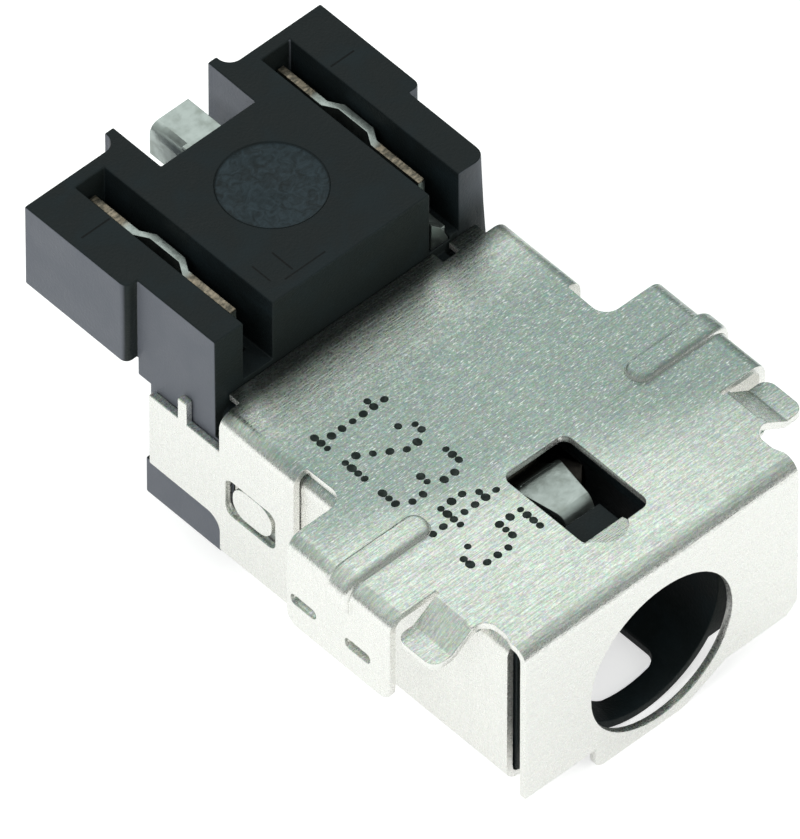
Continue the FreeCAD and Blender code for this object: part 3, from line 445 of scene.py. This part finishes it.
@dataclass(frozen=True)
class MouldedPlastic:
    """Black glass filled plastic with a fine eroded surface and an ejector mark."""

    name: str = "moulded_plastic"
    black: Colour = (0.0105, 0.0145, 0.0155)
    dusty: Colour = (0.013, 0.020, 0.023)
    # Painted light on the side faces and on the right ear's front face.
    wear_and_light: Colour = (0.25, 0.262, 0.305)
    rubbed: Colour = (0.031, 0.047, 0.057)
    # Painted light added to faces turned to the front.
    front_light_lift: Colour = (0.012, 0.014, 0.012)
    score: Colour = (0.0, 0.0, 0.0)
    erosion_per_mm: Point = (11.0, 11.0, 11.0)
    patch_per_mm: Point = (0.7, 0.7, 0.7)
    fleck_per_mm: Point = (16.0, 16.0, 16.0)
    rub_per_mm: Point = (3.0, 3.0, 3.0)
    patch_cut: Span = (0.4, 0.75)
    fleck_cut: Span = (0.6, 0.78)
    rub_cut: Span = (0.2, 0.8)
    fleck_share: float = 0.55
    score_share: float = 0.8
    lit_side_share: float = 0.7
    front_facing: Span = (-0.4, -0.9)
    ear_facing: Span = (-0.3, -0.7)
    side_facing: Span = (0.7, 1.0)
    relief: Relief = (0.03, 0.7)
    roughness: Span = (0.42, 0.56)
    specular: float = 0.15
    mark_centre_mm: tuple[float, float] = (0.0, 18.78)
    mark_radius_mm: float = 1.9
    mark_edge: float = 0.97
    top_mm: Span = (7.3, 7.4)
    flank_mm: Span = (5.9, 6.0)
    recess_side_mm: Span = (3.3, 3.2)
    recess_front_mm: Span = (21.7, 21.9)
    ear_side_mm: Span = (4.7, 4.75)
    ear_across_mm: Span = (4.7, 6.1)
    ear_across_share: Span = (0.3, 0.6)
    ear_up_mm: Span = (4.9, 6.6)
    ear_up_share: Span = (0.2, 1.0)
    scores_mm: Sequence[tuple[float, float, float, float]] = (
        (-6.16, -4.9, 21.27, 21.34), (4.95, 6.0, 21.27, 21.34),
        (-2.05, -1.98, 15.6, 16.6), (-2.93, -2.87, 15.7, 16.6), (-2.5, -0.7, 15.42, 15.48))

    def scored(self, paint: Painter) -> bpy.types.NodeSocket:
        """Faint straight lines in the top, left by the mould.

        Args:
            paint: The material under work.

        Returns:
            One on the lines and zero elsewhere.
        """
        total: bpy.types.NodeSocket | float = 0.0
        for left, right, near, far in self.scores_mm:
            line = paint.product(paint.calc("COMPARE", paint.axis("Object", "X"),
                                            (left + right) / 2 * MM, (right - left) / 2 * MM),
                                 paint.calc("COMPARE", paint.axis("Object", "Y"),
                                            (near + far) / 2 * MM, (far - near) / 2 * MM))
            total = paint.calc("MAXIMUM", line, total)
        return total

    def mark(self, paint: Painter) -> bpy.types.NodeSocket:
        """The unevenly rubbed disc that the ejector left.

        Args:
            paint: The material under work.

        Returns:
            How much of the disc's colour shows, on every level.
        """
        across, along = (paint.calc("SUBTRACT", paint.axis("Object", letter), middle * MM)
                         for letter, middle in zip("XY", self.mark_centre_mm))
        reach = paint.calc("SQRT", paint.calc("ADD", paint.calc("POWER", across, 2.0),
                                              paint.calc("POWER", along, 2.0)))
        radius = self.mark_radius_mm * MM
        rubbed = paint.noise(self.rub_per_mm, detail=6.0, warp=1.5)
        return paint.product(paint.span(reach, radius, radius * self.mark_edge),
                             paint.span(rubbed, *self.rub_cut))

    def ear_front_light(self, paint: Painter) -> bpy.types.NodeSocket:
        """Painted light on the front face of the right ear, stronger higher up and further out.

        Args:
            paint: The material under work.

        Returns:
            How much painted light it gets.
        """
        return paint.product(paint.ramp("X", self.ear_across_mm, self.ear_across_share),
                             paint.ramp("Z", self.ear_up_mm, self.ear_up_share),
                             paint.span(paint.axis("Normal", "Y"), *self.ear_facing),
                             paint.ramp("X", self.ear_side_mm))

    def lit_sides(self, paint: Painter) -> bpy.types.NodeSocket:
        """The outer side faces and the sides of the rear recess, painted paler to stand in for the
        light that falls on them.

        Args:
            paint: The material under work.

        Returns:
            One on those faces and zero elsewhere.
        """
        off_centre = paint.calc("ABSOLUTE", paint.axis("Object", "X"))
        flank, recess = (paint.span(off_centre, start * MM, end * MM)
                         for start, end in (self.flank_mm, self.recess_side_mm))
        recess = paint.product(recess, paint.ramp("Y", self.recess_front_mm))
        sideways = paint.span(paint.calc("ABSOLUTE", paint.axis("Normal", "X")),
                              *self.side_facing)
        return paint.product(sideways, paint.calc("MAXIMUM", flank, recess))

    def build(self) -> bpy.types.Material:
        """The node material."""
        paint = Painter(self.name)
        erosion = paint.noise(self.erosion_per_mm, detail=6.0)
        patches = paint.noise(self.patch_per_mm, detail=4.0, warp=0.5)
        flecks = paint.noise(self.fleck_per_mm, detail=2.0)
        top = paint.ramp("Z", self.top_mm)
        facing_front = paint.span(paint.axis("Normal", "Y"), *self.front_facing)
        tone = paint.mix(paint.span(patches, *self.patch_cut), self.black, self.dusty)
        tone = paint.mix(paint.span(flecks, *self.fleck_cut, 0.0, self.fleck_share), tone,
                         self.dusty)
        tone = paint.mix(paint.product(self.mark(paint), top), tone, self.rubbed)
        tone = paint.mix(paint.product(self.scored(paint), top, self.score_share), tone,
                         self.score)
        # Painted light on the front face of the right ear.
        tone = paint.mix(self.ear_front_light(paint), tone, self.wear_and_light)
        # Painted light: faces turned to the front are lifted a little.
        tone = paint.mix(facing_front, tone, self.front_light_lift, Blend.ADD)
        # Painted light: the side faces are made paler.
        tone = paint.mix(paint.product(self.lit_sides(paint), self.lit_side_share), tone, self.wear_and_light)
        return paint.finish(Base_Color=tone, Metallic=0.0,
                            Roughness=paint.span(patches, *NOISE_REACH, *self.roughness),
                            Normal=paint.bump(erosion, self.relief),
                            Specular_IOR_Level=self.specular)


@dataclass(frozen=True)
class ContactMetal:
    """Copper alloy strip, tin plated, with bare cut edges at the ends of the blades."""

    name: str = "contact_metal"
    tin: Colour = (0.46, 0.51, 0.49)
    # The tone of the painted shade inside the jack, under the top plate.
    inner_shade_tone: Colour = (0.07, 0.065, 0.055)
    aged: Colour = (0.40, 0.44, 0.41)
    bare: Colour = (0.35, 0.295, 0.225)
    dark: Colour = (0.115, 0.105, 0.085)
    streak_per_mm: Point = (5.0, 9.0, 5.0)
    wear_per_mm: Point = (2.5, 2.5, 2.5)
    raw_cut: Span = (0.35, 0.65)
    aged_cut: Span = (0.45, 0.8)
    relief: Relief = (0.012, 0.6)
    roughness: Span = (0.28, 0.46)
    metallic: float = 0.95
    bright_start_mm: Span = (18.1, 18.45)
    bright_end_mm: Span = (21.45, 21.1)
    cut_level_mm: Span = (6.6, 6.68)
    cut_top_mm: Span = (6.8, 6.78)
    blade_side_mm: Span = (3.0, 3.1)
    inner_shade_from_mm: Span = (6.0, 6.3)
    inner_shade_level_mm: Span = (4.4, 4.3)

    def cut_edges(self, paint: Painter) -> bpy.types.NodeSocket:
        """The upper edges of the blades, apart from their plated middle.

        Args:
            paint: The material under work.

        Returns:
            One on the bare edges and zero elsewhere.
        """
        bright = paint.product(paint.ramp("Y", self.bright_start_mm),
                               paint.ramp("Y", self.bright_end_mm))
        start, end = self.blade_side_mm
        blade = paint.span(paint.calc("ABSOLUTE", paint.axis("Object", "X")), start * MM, end * MM)
        level = paint.product(paint.ramp("Z", self.cut_level_mm), paint.ramp("Z", self.cut_top_mm))
        return paint.product(level, paint.product(blade, paint.calc("SUBTRACT", 1.0, bright)))

    def build(self) -> bpy.types.Material:
        """The node material."""
        paint = Painter(self.name)
        streaks = paint.noise(self.streak_per_mm, detail=5.0)
        wear_and_light = paint.noise(self.wear_per_mm, detail=4.0)
        raw = paint.mix(paint.span(streaks, *self.raw_cut), self.bare, self.dark)
        tin = paint.mix(paint.span(wear_and_light, *self.aged_cut), self.tin, self.aged)
        tone = paint.mix(self.cut_edges(paint), tin, raw)
        # Painted shade: contact metal further back than about 6.2 mm and lower than about 4.35 mm,
        # under the top plate, is painted dark.
        inner_shade = paint.product(paint.ramp("Y", self.inner_shade_from_mm),
                               paint.ramp("Z", self.inner_shade_level_mm))
        tone = paint.mix(inner_shade, tone, self.inner_shade_tone)
        return paint.finish(Base_Color=tone, Metallic=self.metallic,
                            Roughness=paint.span(wear_and_light, *NOISE_REACH, *self.roughness),
                            Normal=paint.bump(streaks, self.relief))


@dataclass(frozen=True)
class PrintedInk:
    """Dark marking ink, a little uneven."""

    name: str = "marking_ink"
    deep: Colour = (0.010, 0.016, 0.014)
    thin: Colour = (0.035, 0.047, 0.043)
    per_mm: Point = (5.0, 5.0, 5.0)
    thin_cut: Span = (0.4, 0.75)
    relief: Relief = (0.004, 0.5)
    roughness: float = 0.5
    specular: float = 0.15

    def build(self) -> bpy.types.Material:
        """The node material."""
        paint = Painter(self.name)
        uneven = paint.noise(self.per_mm, detail=4.0)
        tone = paint.mix(paint.span(uneven, *self.thin_cut), self.deep, self.thin)
        return paint.finish(Base_Color=tone, Roughness=self.roughness,
                            Normal=paint.bump(uneven, self.relief),
                            Specular_IOR_Level=self.specular)


class Workbench:
    """Selection and edit mode helpers, used as by hand."""

    EDGE_SEGMENTS = 2
    CORNER_SEGMENTS = 6
    SAME_PLACE_MM = 0.05
    NORMAL_WEIGHT = 100

    @staticmethod
    def clear() -> None:
        """Deselect everything."""
        if bpy.context.object is not None and bpy.context.object.mode != "OBJECT":
            bpy.ops.object.mode_set(mode="OBJECT")
        bpy.ops.object.select_all(action="DESELECT")

    @staticmethod
    def hold(piece: bpy.types.Object) -> None:
        """Make one object the only selected and active one."""
        Workbench.clear()
        piece.select_set(True)
        bpy.context.view_layer.objects.active = piece

    @staticmethod
    def apply_place(piece: bpy.types.Object) -> None:
        """Move the object's place, turn and scale into its mesh."""
        Workbench.hold(piece)
        bpy.ops.object.transform_apply(location=True, rotation=True, scale=True)

    @staticmethod
    def apply_modifier(piece: bpy.types.Object, modifier: bpy.types.Modifier) -> None:
        """Apply one modifier."""
        Workbench.hold(piece)
        bpy.ops.object.modifier_apply(modifier=modifier.name)

    @staticmethod
    def away(piece: bpy.types.Object, edge: bpy.types.MeshEdge, place_mm: Point) -> float:
        """How far the middle of an edge lies from a place.

        Args:
            piece: The piece.
            edge: One of its edges.
            place_mm: The place.

        Returns:
            The distance, in metres.
        """
        middle = sum((piece.data.vertices[end].co for end in edge.vertices), Vector()) / 2
        return (middle - Vector(place_mm) * MM).length

    @staticmethod
    def round_corner(piece: bpy.types.Object, middle_mm: Point, radius_mm: float) -> None:
        """Round one long edge on its own.

        Args:
            piece: The piece.
            middle_mm: The middle of the edge.
            radius_mm: The radius.
        """
        Workbench.hold(piece)
        bpy.ops.object.mode_set(mode="EDIT")
        bpy.ops.mesh.select_mode(type="EDGE")
        bpy.ops.mesh.select_all(action="DESELECT")
        bpy.ops.object.mode_set(mode="OBJECT")
        for edge in piece.data.edges:
            edge.select = Workbench.away(piece, edge, middle_mm) < Workbench.SAME_PLACE_MM * MM
        bpy.ops.object.mode_set(mode="EDIT")
        bpy.ops.mesh.bevel(offset=radius_mm * MM, segments=Workbench.CORNER_SEGMENTS,
                           affect="EDGES")
        bpy.ops.object.mode_set(mode="OBJECT")

    @staticmethod
    def weigh_sharp_edges(piece: bpy.types.Object, angle: float,
                          special: Sequence[Ball]) -> None:
        """Mark the sharp edges for rounding, each with its share of the full width.

        Args:
            piece: The piece.
            angle: Edges sharper than this are marked, in degrees.
            special: Centre, reach and share for the places that are rounded less.
        """
        Workbench.hold(piece)
        bpy.ops.object.mode_set(mode="EDIT")
        bpy.ops.mesh.select_mode(type="EDGE")
        bpy.ops.mesh.select_all(action="DESELECT")
        bpy.ops.mesh.edges_select_sharp(sharpness=math.radians(angle))
        bpy.ops.object.mode_set(mode="OBJECT")
        mesh = piece.data
        weights = mesh.attributes.new("bevel_weight_edge", "FLOAT", "EDGE")
        for edge in mesh.edges:
            if not edge.select:
                continue
            share = 1.0
            for centre, reach, own in special:
                if Workbench.away(piece, edge, centre) < reach * MM:
                    share = own
            weights.data[edge.index].value = share

    @staticmethod
    def soften(piece: bpy.types.Object, width_mm: float, angle: float,
               special: Sequence[Ball]) -> None:
        """Round the sharp edges of a piece and smooth its shading.

        Args:
            piece: The piece.
            width_mm: Full width of the rounding, in millimetres.
            angle: Edges sharper than this are rounded, in degrees.
            special: Centre, reach and share for the places that are rounded less.
        """
        Workbench.weigh_sharp_edges(piece, angle, special)
        bevel = piece.modifiers.new("edge_rounding", "BEVEL")
        bevel.width = width_mm * MM
        bevel.segments = Workbench.EDGE_SEGMENTS
        bevel.limit_method = "WEIGHT"
        bevel.use_clamp_overlap = False
        Workbench.apply_modifier(piece, bevel)
        bpy.ops.object.shade_smooth_by_angle(angle=math.radians(angle))
        flatten = piece.modifiers.new("flat_faces", "WEIGHTED_NORMAL")
        flatten.mode = "FACE_AREA"
        flatten.weight = Workbench.NORMAL_WEIGHT
        flatten.keep_sharp = True
        Workbench.apply_modifier(piece, flatten)


@dataclass
class SheetPiece:
    """A finished copy of one CAD node, with softened edges and its own material."""

    node: str
    slot: Slot
    edge_mm: float
    material: Callable[[], bpy.types.Material]
    edge_angle: float = 32.0
    special: Sequence[Ball] = ()
    corners: Sequence[Corner] = ()
    merge_mm: float = 0.0005
    flat_angle: float = 0.4

    def build(self) -> bpy.types.Object:
        """Copy the node, merge it, round its edges and dress it.

        Returns:
            The finished piece, which stands for the node.
        """
        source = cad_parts[self.node]
        piece = bpy.data.objects.new(f"{self.node}_finished", source.data.copy())
        bpy.context.scene.collection.objects.link(piece)
        Workbench.hold(piece)
        bpy.ops.object.mode_set(mode="EDIT")
        bpy.ops.mesh.select_all(action="SELECT")
        bpy.ops.mesh.remove_doubles(threshold=self.merge_mm * MM)
        bpy.ops.mesh.dissolve_limited(angle_limit=math.radians(self.flat_angle))
        bpy.ops.object.mode_set(mode="OBJECT")
        for middle_mm, radius_mm in self.corners:
            Workbench.round_corner(piece, middle_mm, radius_mm)
        Workbench.soften(piece, self.edge_mm, self.edge_angle, self.special)
        piece.data.materials.clear()
        piece.data.materials.append(self.material())
        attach(piece, "root")
        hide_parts(self.node)
        LOG.info("%s: %d faces", piece.name, len(piece.data.polygons))
        return piece


@dataclass
class DotPrint:
    """A line of plain numerals in ink dots on the top plate."""

    numerals: str = "12345"
    dot_radius_mm: float = 0.145
    thickness_mm: float = 0.008
    dot_sides: int = 14
    dome_inset: float = 0.35
    dome_rise: float = 0.4
    smooth_angle: float = 40.0
    unevenness: float = 0.13
    uneven_steps: tuple[float, float] = (2.4, 1.7)
    row_pitch_mm: float = 0.47
    column_pitch_mm: float = 0.31
    numeral_gap_mm: float = 0.55
    start_mm: tuple[float, float] = (-4.75, 11.9)
    level_mm: float = 4.6
    glyphs: dict[str, Sequence[str]] = field(default_factory=lambda: {
        "1": ("0010", "0110", "0010", "0010", "0010", "0010", "0111"),
        "2": ("0110", "1001", "0001", "0010", "0100", "1000", "1111"),
        "3": ("1110", "0001", "0001", "0110", "0001", "0001", "1110"),
        "4": ("0010", "0110", "1010", "1010", "1111", "0010", "0010"),
        "5": ("1111", "1000", "1110", "0001", "0001", "1001", "0110"),
    })

    def dot_places(self) -> list[tuple[float, float]]:
        """Where each dot lies, in millimetres across and along the jack.

        Returns:
            The centres, with the line running towards the plug hole.
        """
        places = []
        along = self.start_mm[1]
        for numeral in self.numerals:
            rows = self.glyphs[numeral]
            for row, dots in enumerate(reversed(rows)):
                for column, dot in enumerate(dots):
                    if dot == "1":
                        places.append((self.start_mm[0] + row * self.row_pitch_mm,
                                       along - column * self.column_pitch_mm))
            along -= len(rows[0]) * self.column_pitch_mm + self.numeral_gap_mm
        return places

    def domed_dot(self) -> bpy.types.Object:
        """Model one dot, thicker in its middle.

        Returns:
            The dot, at the origin.
        """
        Workbench.clear()
        bpy.ops.mesh.primitive_cylinder_add(vertices=self.dot_sides, depth=self.thickness_mm * MM,
                                            radius=self.dot_radius_mm * MM)
        dot = bpy.context.object
        bpy.ops.object.mode_set(mode="EDIT")
        bpy.ops.mesh.select_all(action="DESELECT")
        bpy.ops.object.mode_set(mode="OBJECT")
        for face in dot.data.polygons:
            face.select = face.normal.z > 0.9
        bpy.ops.object.mode_set(mode="EDIT")
        bpy.ops.mesh.inset(thickness=self.dot_radius_mm * self.dome_inset * MM)
        bpy.ops.transform.translate(value=(0, 0, self.thickness_mm * self.dome_rise * MM))
        bpy.ops.object.mode_set(mode="OBJECT")
        return dot

    def build(self) -> bpy.types.Object:
        """Model one domed dot, copy it to every place and join the copies.

        Returns:
            The print as one piece.
        """
        dot = self.domed_dot()
        copies = []
        for number, (across, along) in enumerate(self.dot_places()):
            copy = dot.copy()
            copy.data = dot.data.copy()
            copy.location = (across * MM, along * MM, (self.level_mm + self.thickness_mm / 2) * MM)
            spread = 1.0 + self.unevenness * math.sin(self.uneven_steps[0] * number)
            length = 1.0 + self.unevenness * math.cos(self.uneven_steps[1] * number)
            copy.scale = (spread, spread * length, 1.0)
            bpy.context.scene.collection.objects.link(copy)
            copies.append(copy)
        bpy.data.objects.remove(dot)
        Workbench.clear()
        for copy in copies:
            copy.select_set(True)
        bpy.context.view_layer.objects.active = copies[0]
        bpy.ops.object.join()
        piece = bpy.context.object
        piece.name = "printed_numerals"
        Workbench.apply_place(piece)
        bpy.ops.object.shade_smooth_by_angle(angle=math.radians(self.smooth_angle))
        piece.data.materials.clear()
        piece.data.materials.append(PrintedInk().build())
        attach(piece, "root")
        LOG.info("%s: %d dots", piece.name, len(copies))
        return piece


@dataclass
class Shells:
    """The two nested sheet metal shells."""

    sheet: PlatedSteel = field(default_factory=PlatedSteel)
    edge_mm: float = 0.045
    lip_mm: Ball = ((-0.35, 2.0, 4.5), 0.95, 0.12)

    def build(self) -> list[bpy.types.Object]:
        """Build both shells.

        Returns:
            The outer and the inner shell.
        """
        steel = self.sheet.build()
        outer = SheetPiece("outer_shell", Slot.SHELL, self.edge_mm, lambda: steel,
                           special=[self.lip_mm])
        inner = SheetPiece("inner_shell", Slot.SHELL, self.edge_mm, lambda: steel)
        return [outer.build(), inner.build()]


@dataclass
class Moulding:
    """The black housing."""

    plastic: MouldedPlastic = field(default_factory=MouldedPlastic)
    edge_mm: float = 0.06
    ear_corner_mm: Corner = ((6.08, 14.95, 5.19), 0.5)

    def build(self) -> list[bpy.types.Object]:
        """Build the housing.

        Returns:
            The housing in a list.
        """
        return [SheetPiece("housing", Slot.MOULDING, self.edge_mm, self.plastic.build,
                           corners=[self.ear_corner_mm]).build()]


@dataclass
class Contacts:
    """The centre pin, both blades and the top spring."""

    metal: ContactMetal = field(default_factory=ContactMetal)
    edge_mm: float = 0.035
    tail_bend_mm: Ball = ((-0.8, 22.1, 6.9), 0.6, 0.0)

    def build(self) -> list[bpy.types.Object]:
        """Build every contact.

        Returns:
            The four contact pieces.
        """
        metal = self.metal.build()
        nodes = ("pin_blade_contact", "barrel_blade_contact", "centre_pin")
        pieces = [SheetPiece(node, Slot.CONTACT, self.edge_mm, lambda: metal).build()
                  for node in nodes]
        spring = SheetPiece("top_spring_contact", Slot.CONTACT, self.edge_mm, lambda: metal,
                            special=[self.tail_bend_mm])
        return [*pieces, spring.build()]


@dataclass(frozen=True)
class Lamp:
    """One square soft lamp, in metres and watts."""

    name: str
    place: Point
    size: float
    power: float
    mirrored: bool = False


@dataclass
class Studio:
    """The pale floor, the soft lights, the surroundings and the camera."""

    azimuth: float = -42.806
    elevation: float = 48.62
    distance: float = 1.064
    pixels_per_mm: float = 30.504
    anchor_mm: Point = (0.0, 12.0, 3.0)
    anchor_pixel: tuple[float, float] = (412.64, 389.49)
    picture: tuple[int, int] = (800, 839)
    floor_half: float = 6.0
    floor_colour: Colour = (0.8, 0.8, 0.8)
    glow_of_rays: dict[str, float] = field(default_factory=lambda: {
        "Is Camera Ray": 0.62, "Is Glossy Ray": 0.39, "Is Transmission Ray": 0.62})
    lamps: Sequence[Lamp] = (Lamp("key", (-0.30, -0.02, 0.26), 0.22, 0.5),
                             Lamp("fill", (0.10, -0.34, 0.30), 0.30, 0.38),
                             Lamp("back", (0.16, 0.34, 0.30), 0.30, 0.15, mirrored=True))
    lamp_target: Point = (0.0, 0.012, 0.003)
    brightest_towards: Point = (0.15, 0.55, 0.80)
    room_reach: Span = (-0.1, 0.95)
    room_strength: Span = (0.28, 0.77)
    horizon_reach: Span = (0.0, 0.42)
    horizon_share: Span = (0.3, 1.0)
    room_colour: Colour = (0.93, 1.0, 0.96)
    white: Colour = (1.0, 1.0, 1.0)
    sensor_mm: float = 36.0
    clip: Span = (0.1, 20.0)

    def build(self) -> None:
        """Build everything round the object."""
        self.add_floor()
        self.add_surroundings()
        for lamp in self.lamps:
            self.add_lamp(lamp)
        self.add_camera()

    def floor_glow(self, tree: bpy.types.NodeTree) -> bpy.types.NodeSocket:
        """How much the floor glows for each kind of ray, so that it is white to the camera.

        Args:
            tree: The node tree to build in.

        Returns:
            The strength of the glow.
        """
        path = tree.nodes.new("ShaderNodeLightPath")
        total: Optional[bpy.types.NodeSocket] = None
        for name, strength in self.glow_of_rays.items():
            node = tree.nodes.new("ShaderNodeMath")
            node.operation = "MULTIPLY_ADD"
            node.inputs[1].default_value = strength
            node.inputs[2].default_value = 0.0
            tree.links.new(path.outputs[name], node.inputs[0])
            if total is not None:
                tree.links.new(total, node.inputs[2])
            total = node.outputs["Value"]
        return total

    def add_floor(self) -> None:
        """A wide pale floor at the object's lowest point, which keeps its shadow."""
        Workbench.clear()
        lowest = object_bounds()[0].z
        bpy.ops.mesh.primitive_plane_add(size=self.floor_half * 2, location=(0, 0, lowest))
        floor = bpy.context.object
        floor.name = "studio_floor"
        material = bpy.data.materials.new("pale_floor")
        material.use_nodes = True
        tree = material.node_tree
        tree.nodes.clear()
        output = tree.nodes.new("ShaderNodeOutputMaterial")
        pale = tree.nodes.new("ShaderNodeBsdfDiffuse")
        pale.inputs["Color"].default_value = (*self.floor_colour, 1.0)
        glow = tree.nodes.new("ShaderNodeEmission")
        glow.inputs["Color"].default_value = (*self.white, 1.0)
        tree.links.new(self.floor_glow(tree), glow.inputs["Strength"])
        both = tree.nodes.new("ShaderNodeAddShader")
        tree.links.new(pale.outputs["BSDF"], both.inputs[0])
        tree.links.new(glow.outputs["Emission"], both.inputs[1])
        tree.links.new(both.outputs["Shader"], output.inputs["Surface"])
        floor.data.materials.append(material)
        floor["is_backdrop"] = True

    @staticmethod
    def add_ramp(tree: bpy.types.NodeTree, value: bpy.types.NodeSocket, reach: Span,
                 results: Span) -> bpy.types.NodeSocket:
        """Map a range onto another one with a smooth start and end.

        Args:
            tree: The node tree to build in.
            value: The value to map.
            reach: Where the range starts and ends.
            results: The results at its start and end.

        Returns:
            The mapped value.
        """
        node = tree.nodes.new("ShaderNodeMapRange")
        node.interpolation_type = "SMOOTHSTEP"
        node.inputs["From Min"].default_value, node.inputs["From Max"].default_value = reach
        node.inputs["To Min"].default_value, node.inputs["To Max"].default_value = results
        tree.links.new(value, node.inputs["Value"])
        return node.outputs["Result"]

    def room_glow(self, tree: bpy.types.NodeTree) -> bpy.types.NodeSocket:
        """How bright the room is in each direction.

        Args:
            tree: The node tree to build in.

        Returns:
            The strength of the room's light.
        """
        coordinates = tree.nodes.new("ShaderNodeTexCoord")
        facing = tree.nodes.new("ShaderNodeVectorMath")
        facing.operation = "DOT_PRODUCT"
        facing.inputs[1].default_value = Vector(self.brightest_towards).normalized()
        tree.links.new(coordinates.outputs["Generated"], facing.inputs[0])
        height = tree.nodes.new("ShaderNodeSeparateXYZ")
        tree.links.new(coordinates.outputs["Generated"], height.inputs["Vector"])
        strength = tree.nodes.new("ShaderNodeMath")
        strength.operation = "MULTIPLY"
        ramp = self.add_ramp(tree, facing.outputs["Value"], self.room_reach, self.room_strength)
        horizon = self.add_ramp(tree, height.outputs["Z"], self.horizon_reach, self.horizon_share)
        tree.links.new(ramp, strength.inputs[0])
        tree.links.new(horizon, strength.inputs[1])
        return strength.outputs["Value"]

    def add_surroundings(self) -> None:
        """A soft sky, brighter behind the object and overhead, over a darker horizon."""
        world = bpy.data.worlds.new("soft_room")
        bpy.context.scene.world = world
        world.use_nodes = True
        tree = world.node_tree
        tree.nodes.clear()
        output = tree.nodes.new("ShaderNodeOutputWorld")
        room = tree.nodes.new("ShaderNodeBackground")
        white = tree.nodes.new("ShaderNodeBackground")
        path = tree.nodes.new("ShaderNodeLightPath")
        choice = tree.nodes.new("ShaderNodeMixShader")
        room.inputs["Color"].default_value = (*self.room_colour, 1.0)
        white.inputs["Color"].default_value = (*self.white, 1.0)
        tree.links.new(self.room_glow(tree), room.inputs["Strength"])
        tree.links.new(path.outputs["Is Camera Ray"], choice.inputs["Fac"])
        tree.links.new(room.outputs["Background"], choice.inputs[1])
        tree.links.new(white.outputs["Background"], choice.inputs[2])
        tree.links.new(choice.outputs["Shader"], output.inputs["Surface"])

    def add_lamp(self, lamp: Lamp) -> None:
        """Hang one lamp, which looks at the middle of the object.

        Args:
            lamp: Its name, place, size and power, and whether the metal mirrors it.
        """
        data = bpy.data.lights.new(lamp.name, "AREA")
        data.size = lamp.size
        data.energy = lamp.power
        light = bpy.data.objects.new(lamp.name, data)
        light.location = lamp.place
        toward = Vector(self.lamp_target) - Vector(lamp.place)
        light.rotation_euler = toward.to_track_quat("-Z", "Y").to_euler()
        light.visible_glossy = lamp.mirrored
        bpy.context.scene.collection.objects.link(light)

    def add_camera(self) -> None:
        """A long lens from the front left and above."""
        azimuth = math.radians(self.azimuth)
        elevation = math.radians(self.elevation)
        forward = Vector((-math.sin(azimuth) * math.cos(elevation),
                          math.cos(azimuth) * math.cos(elevation), -math.sin(elevation)))
        right = Vector((math.cos(azimuth), math.sin(azimuth), 0.0))
        up = right.cross(forward)
        across = (self.picture[0] / 2 - self.anchor_pixel[0]) / self.pixels_per_mm
        below = (self.picture[1] / 2 - self.anchor_pixel[1]) / self.pixels_per_mm
        target = Vector(self.anchor_mm) + right * across - up * below
        data = bpy.data.cameras.new("camera")
        data.sensor_fit = "AUTO"
        data.sensor_width = self.sensor_mm
        focal_pixels = self.pixels_per_mm / MM * self.distance
        data.lens = focal_pixels * data.sensor_width / max(self.picture)
        data.clip_start, data.clip_end = self.clip
        camera = bpy.data.objects.new("camera", data)
        camera.location = target * MM - forward * self.distance
        camera.rotation_mode = "QUATERNION"
        camera.rotation_quaternion = forward.to_track_quat("-Z", "Y")
        bpy.context.scene.collection.objects.link(camera)
        bpy.context.scene.camera = camera


def main() -> None:
    """Build the object piece by piece, then the studio."""
    logging.basicConfig(level=logging.INFO, format="%(name)s %(message)s")
    pieces: list[bpy.types.Object] = []
    for assembly in (Shells(), Moulding(), Contacts()):
        pieces.extend(assembly.build())
    pieces.append(DotPrint().build())
    LOG.info("%d pieces", len(pieces))
    Studio().build()
    bpy.context.scene.view_settings.view_transform = "Standard"


if __name__ == "__main__":
    main()
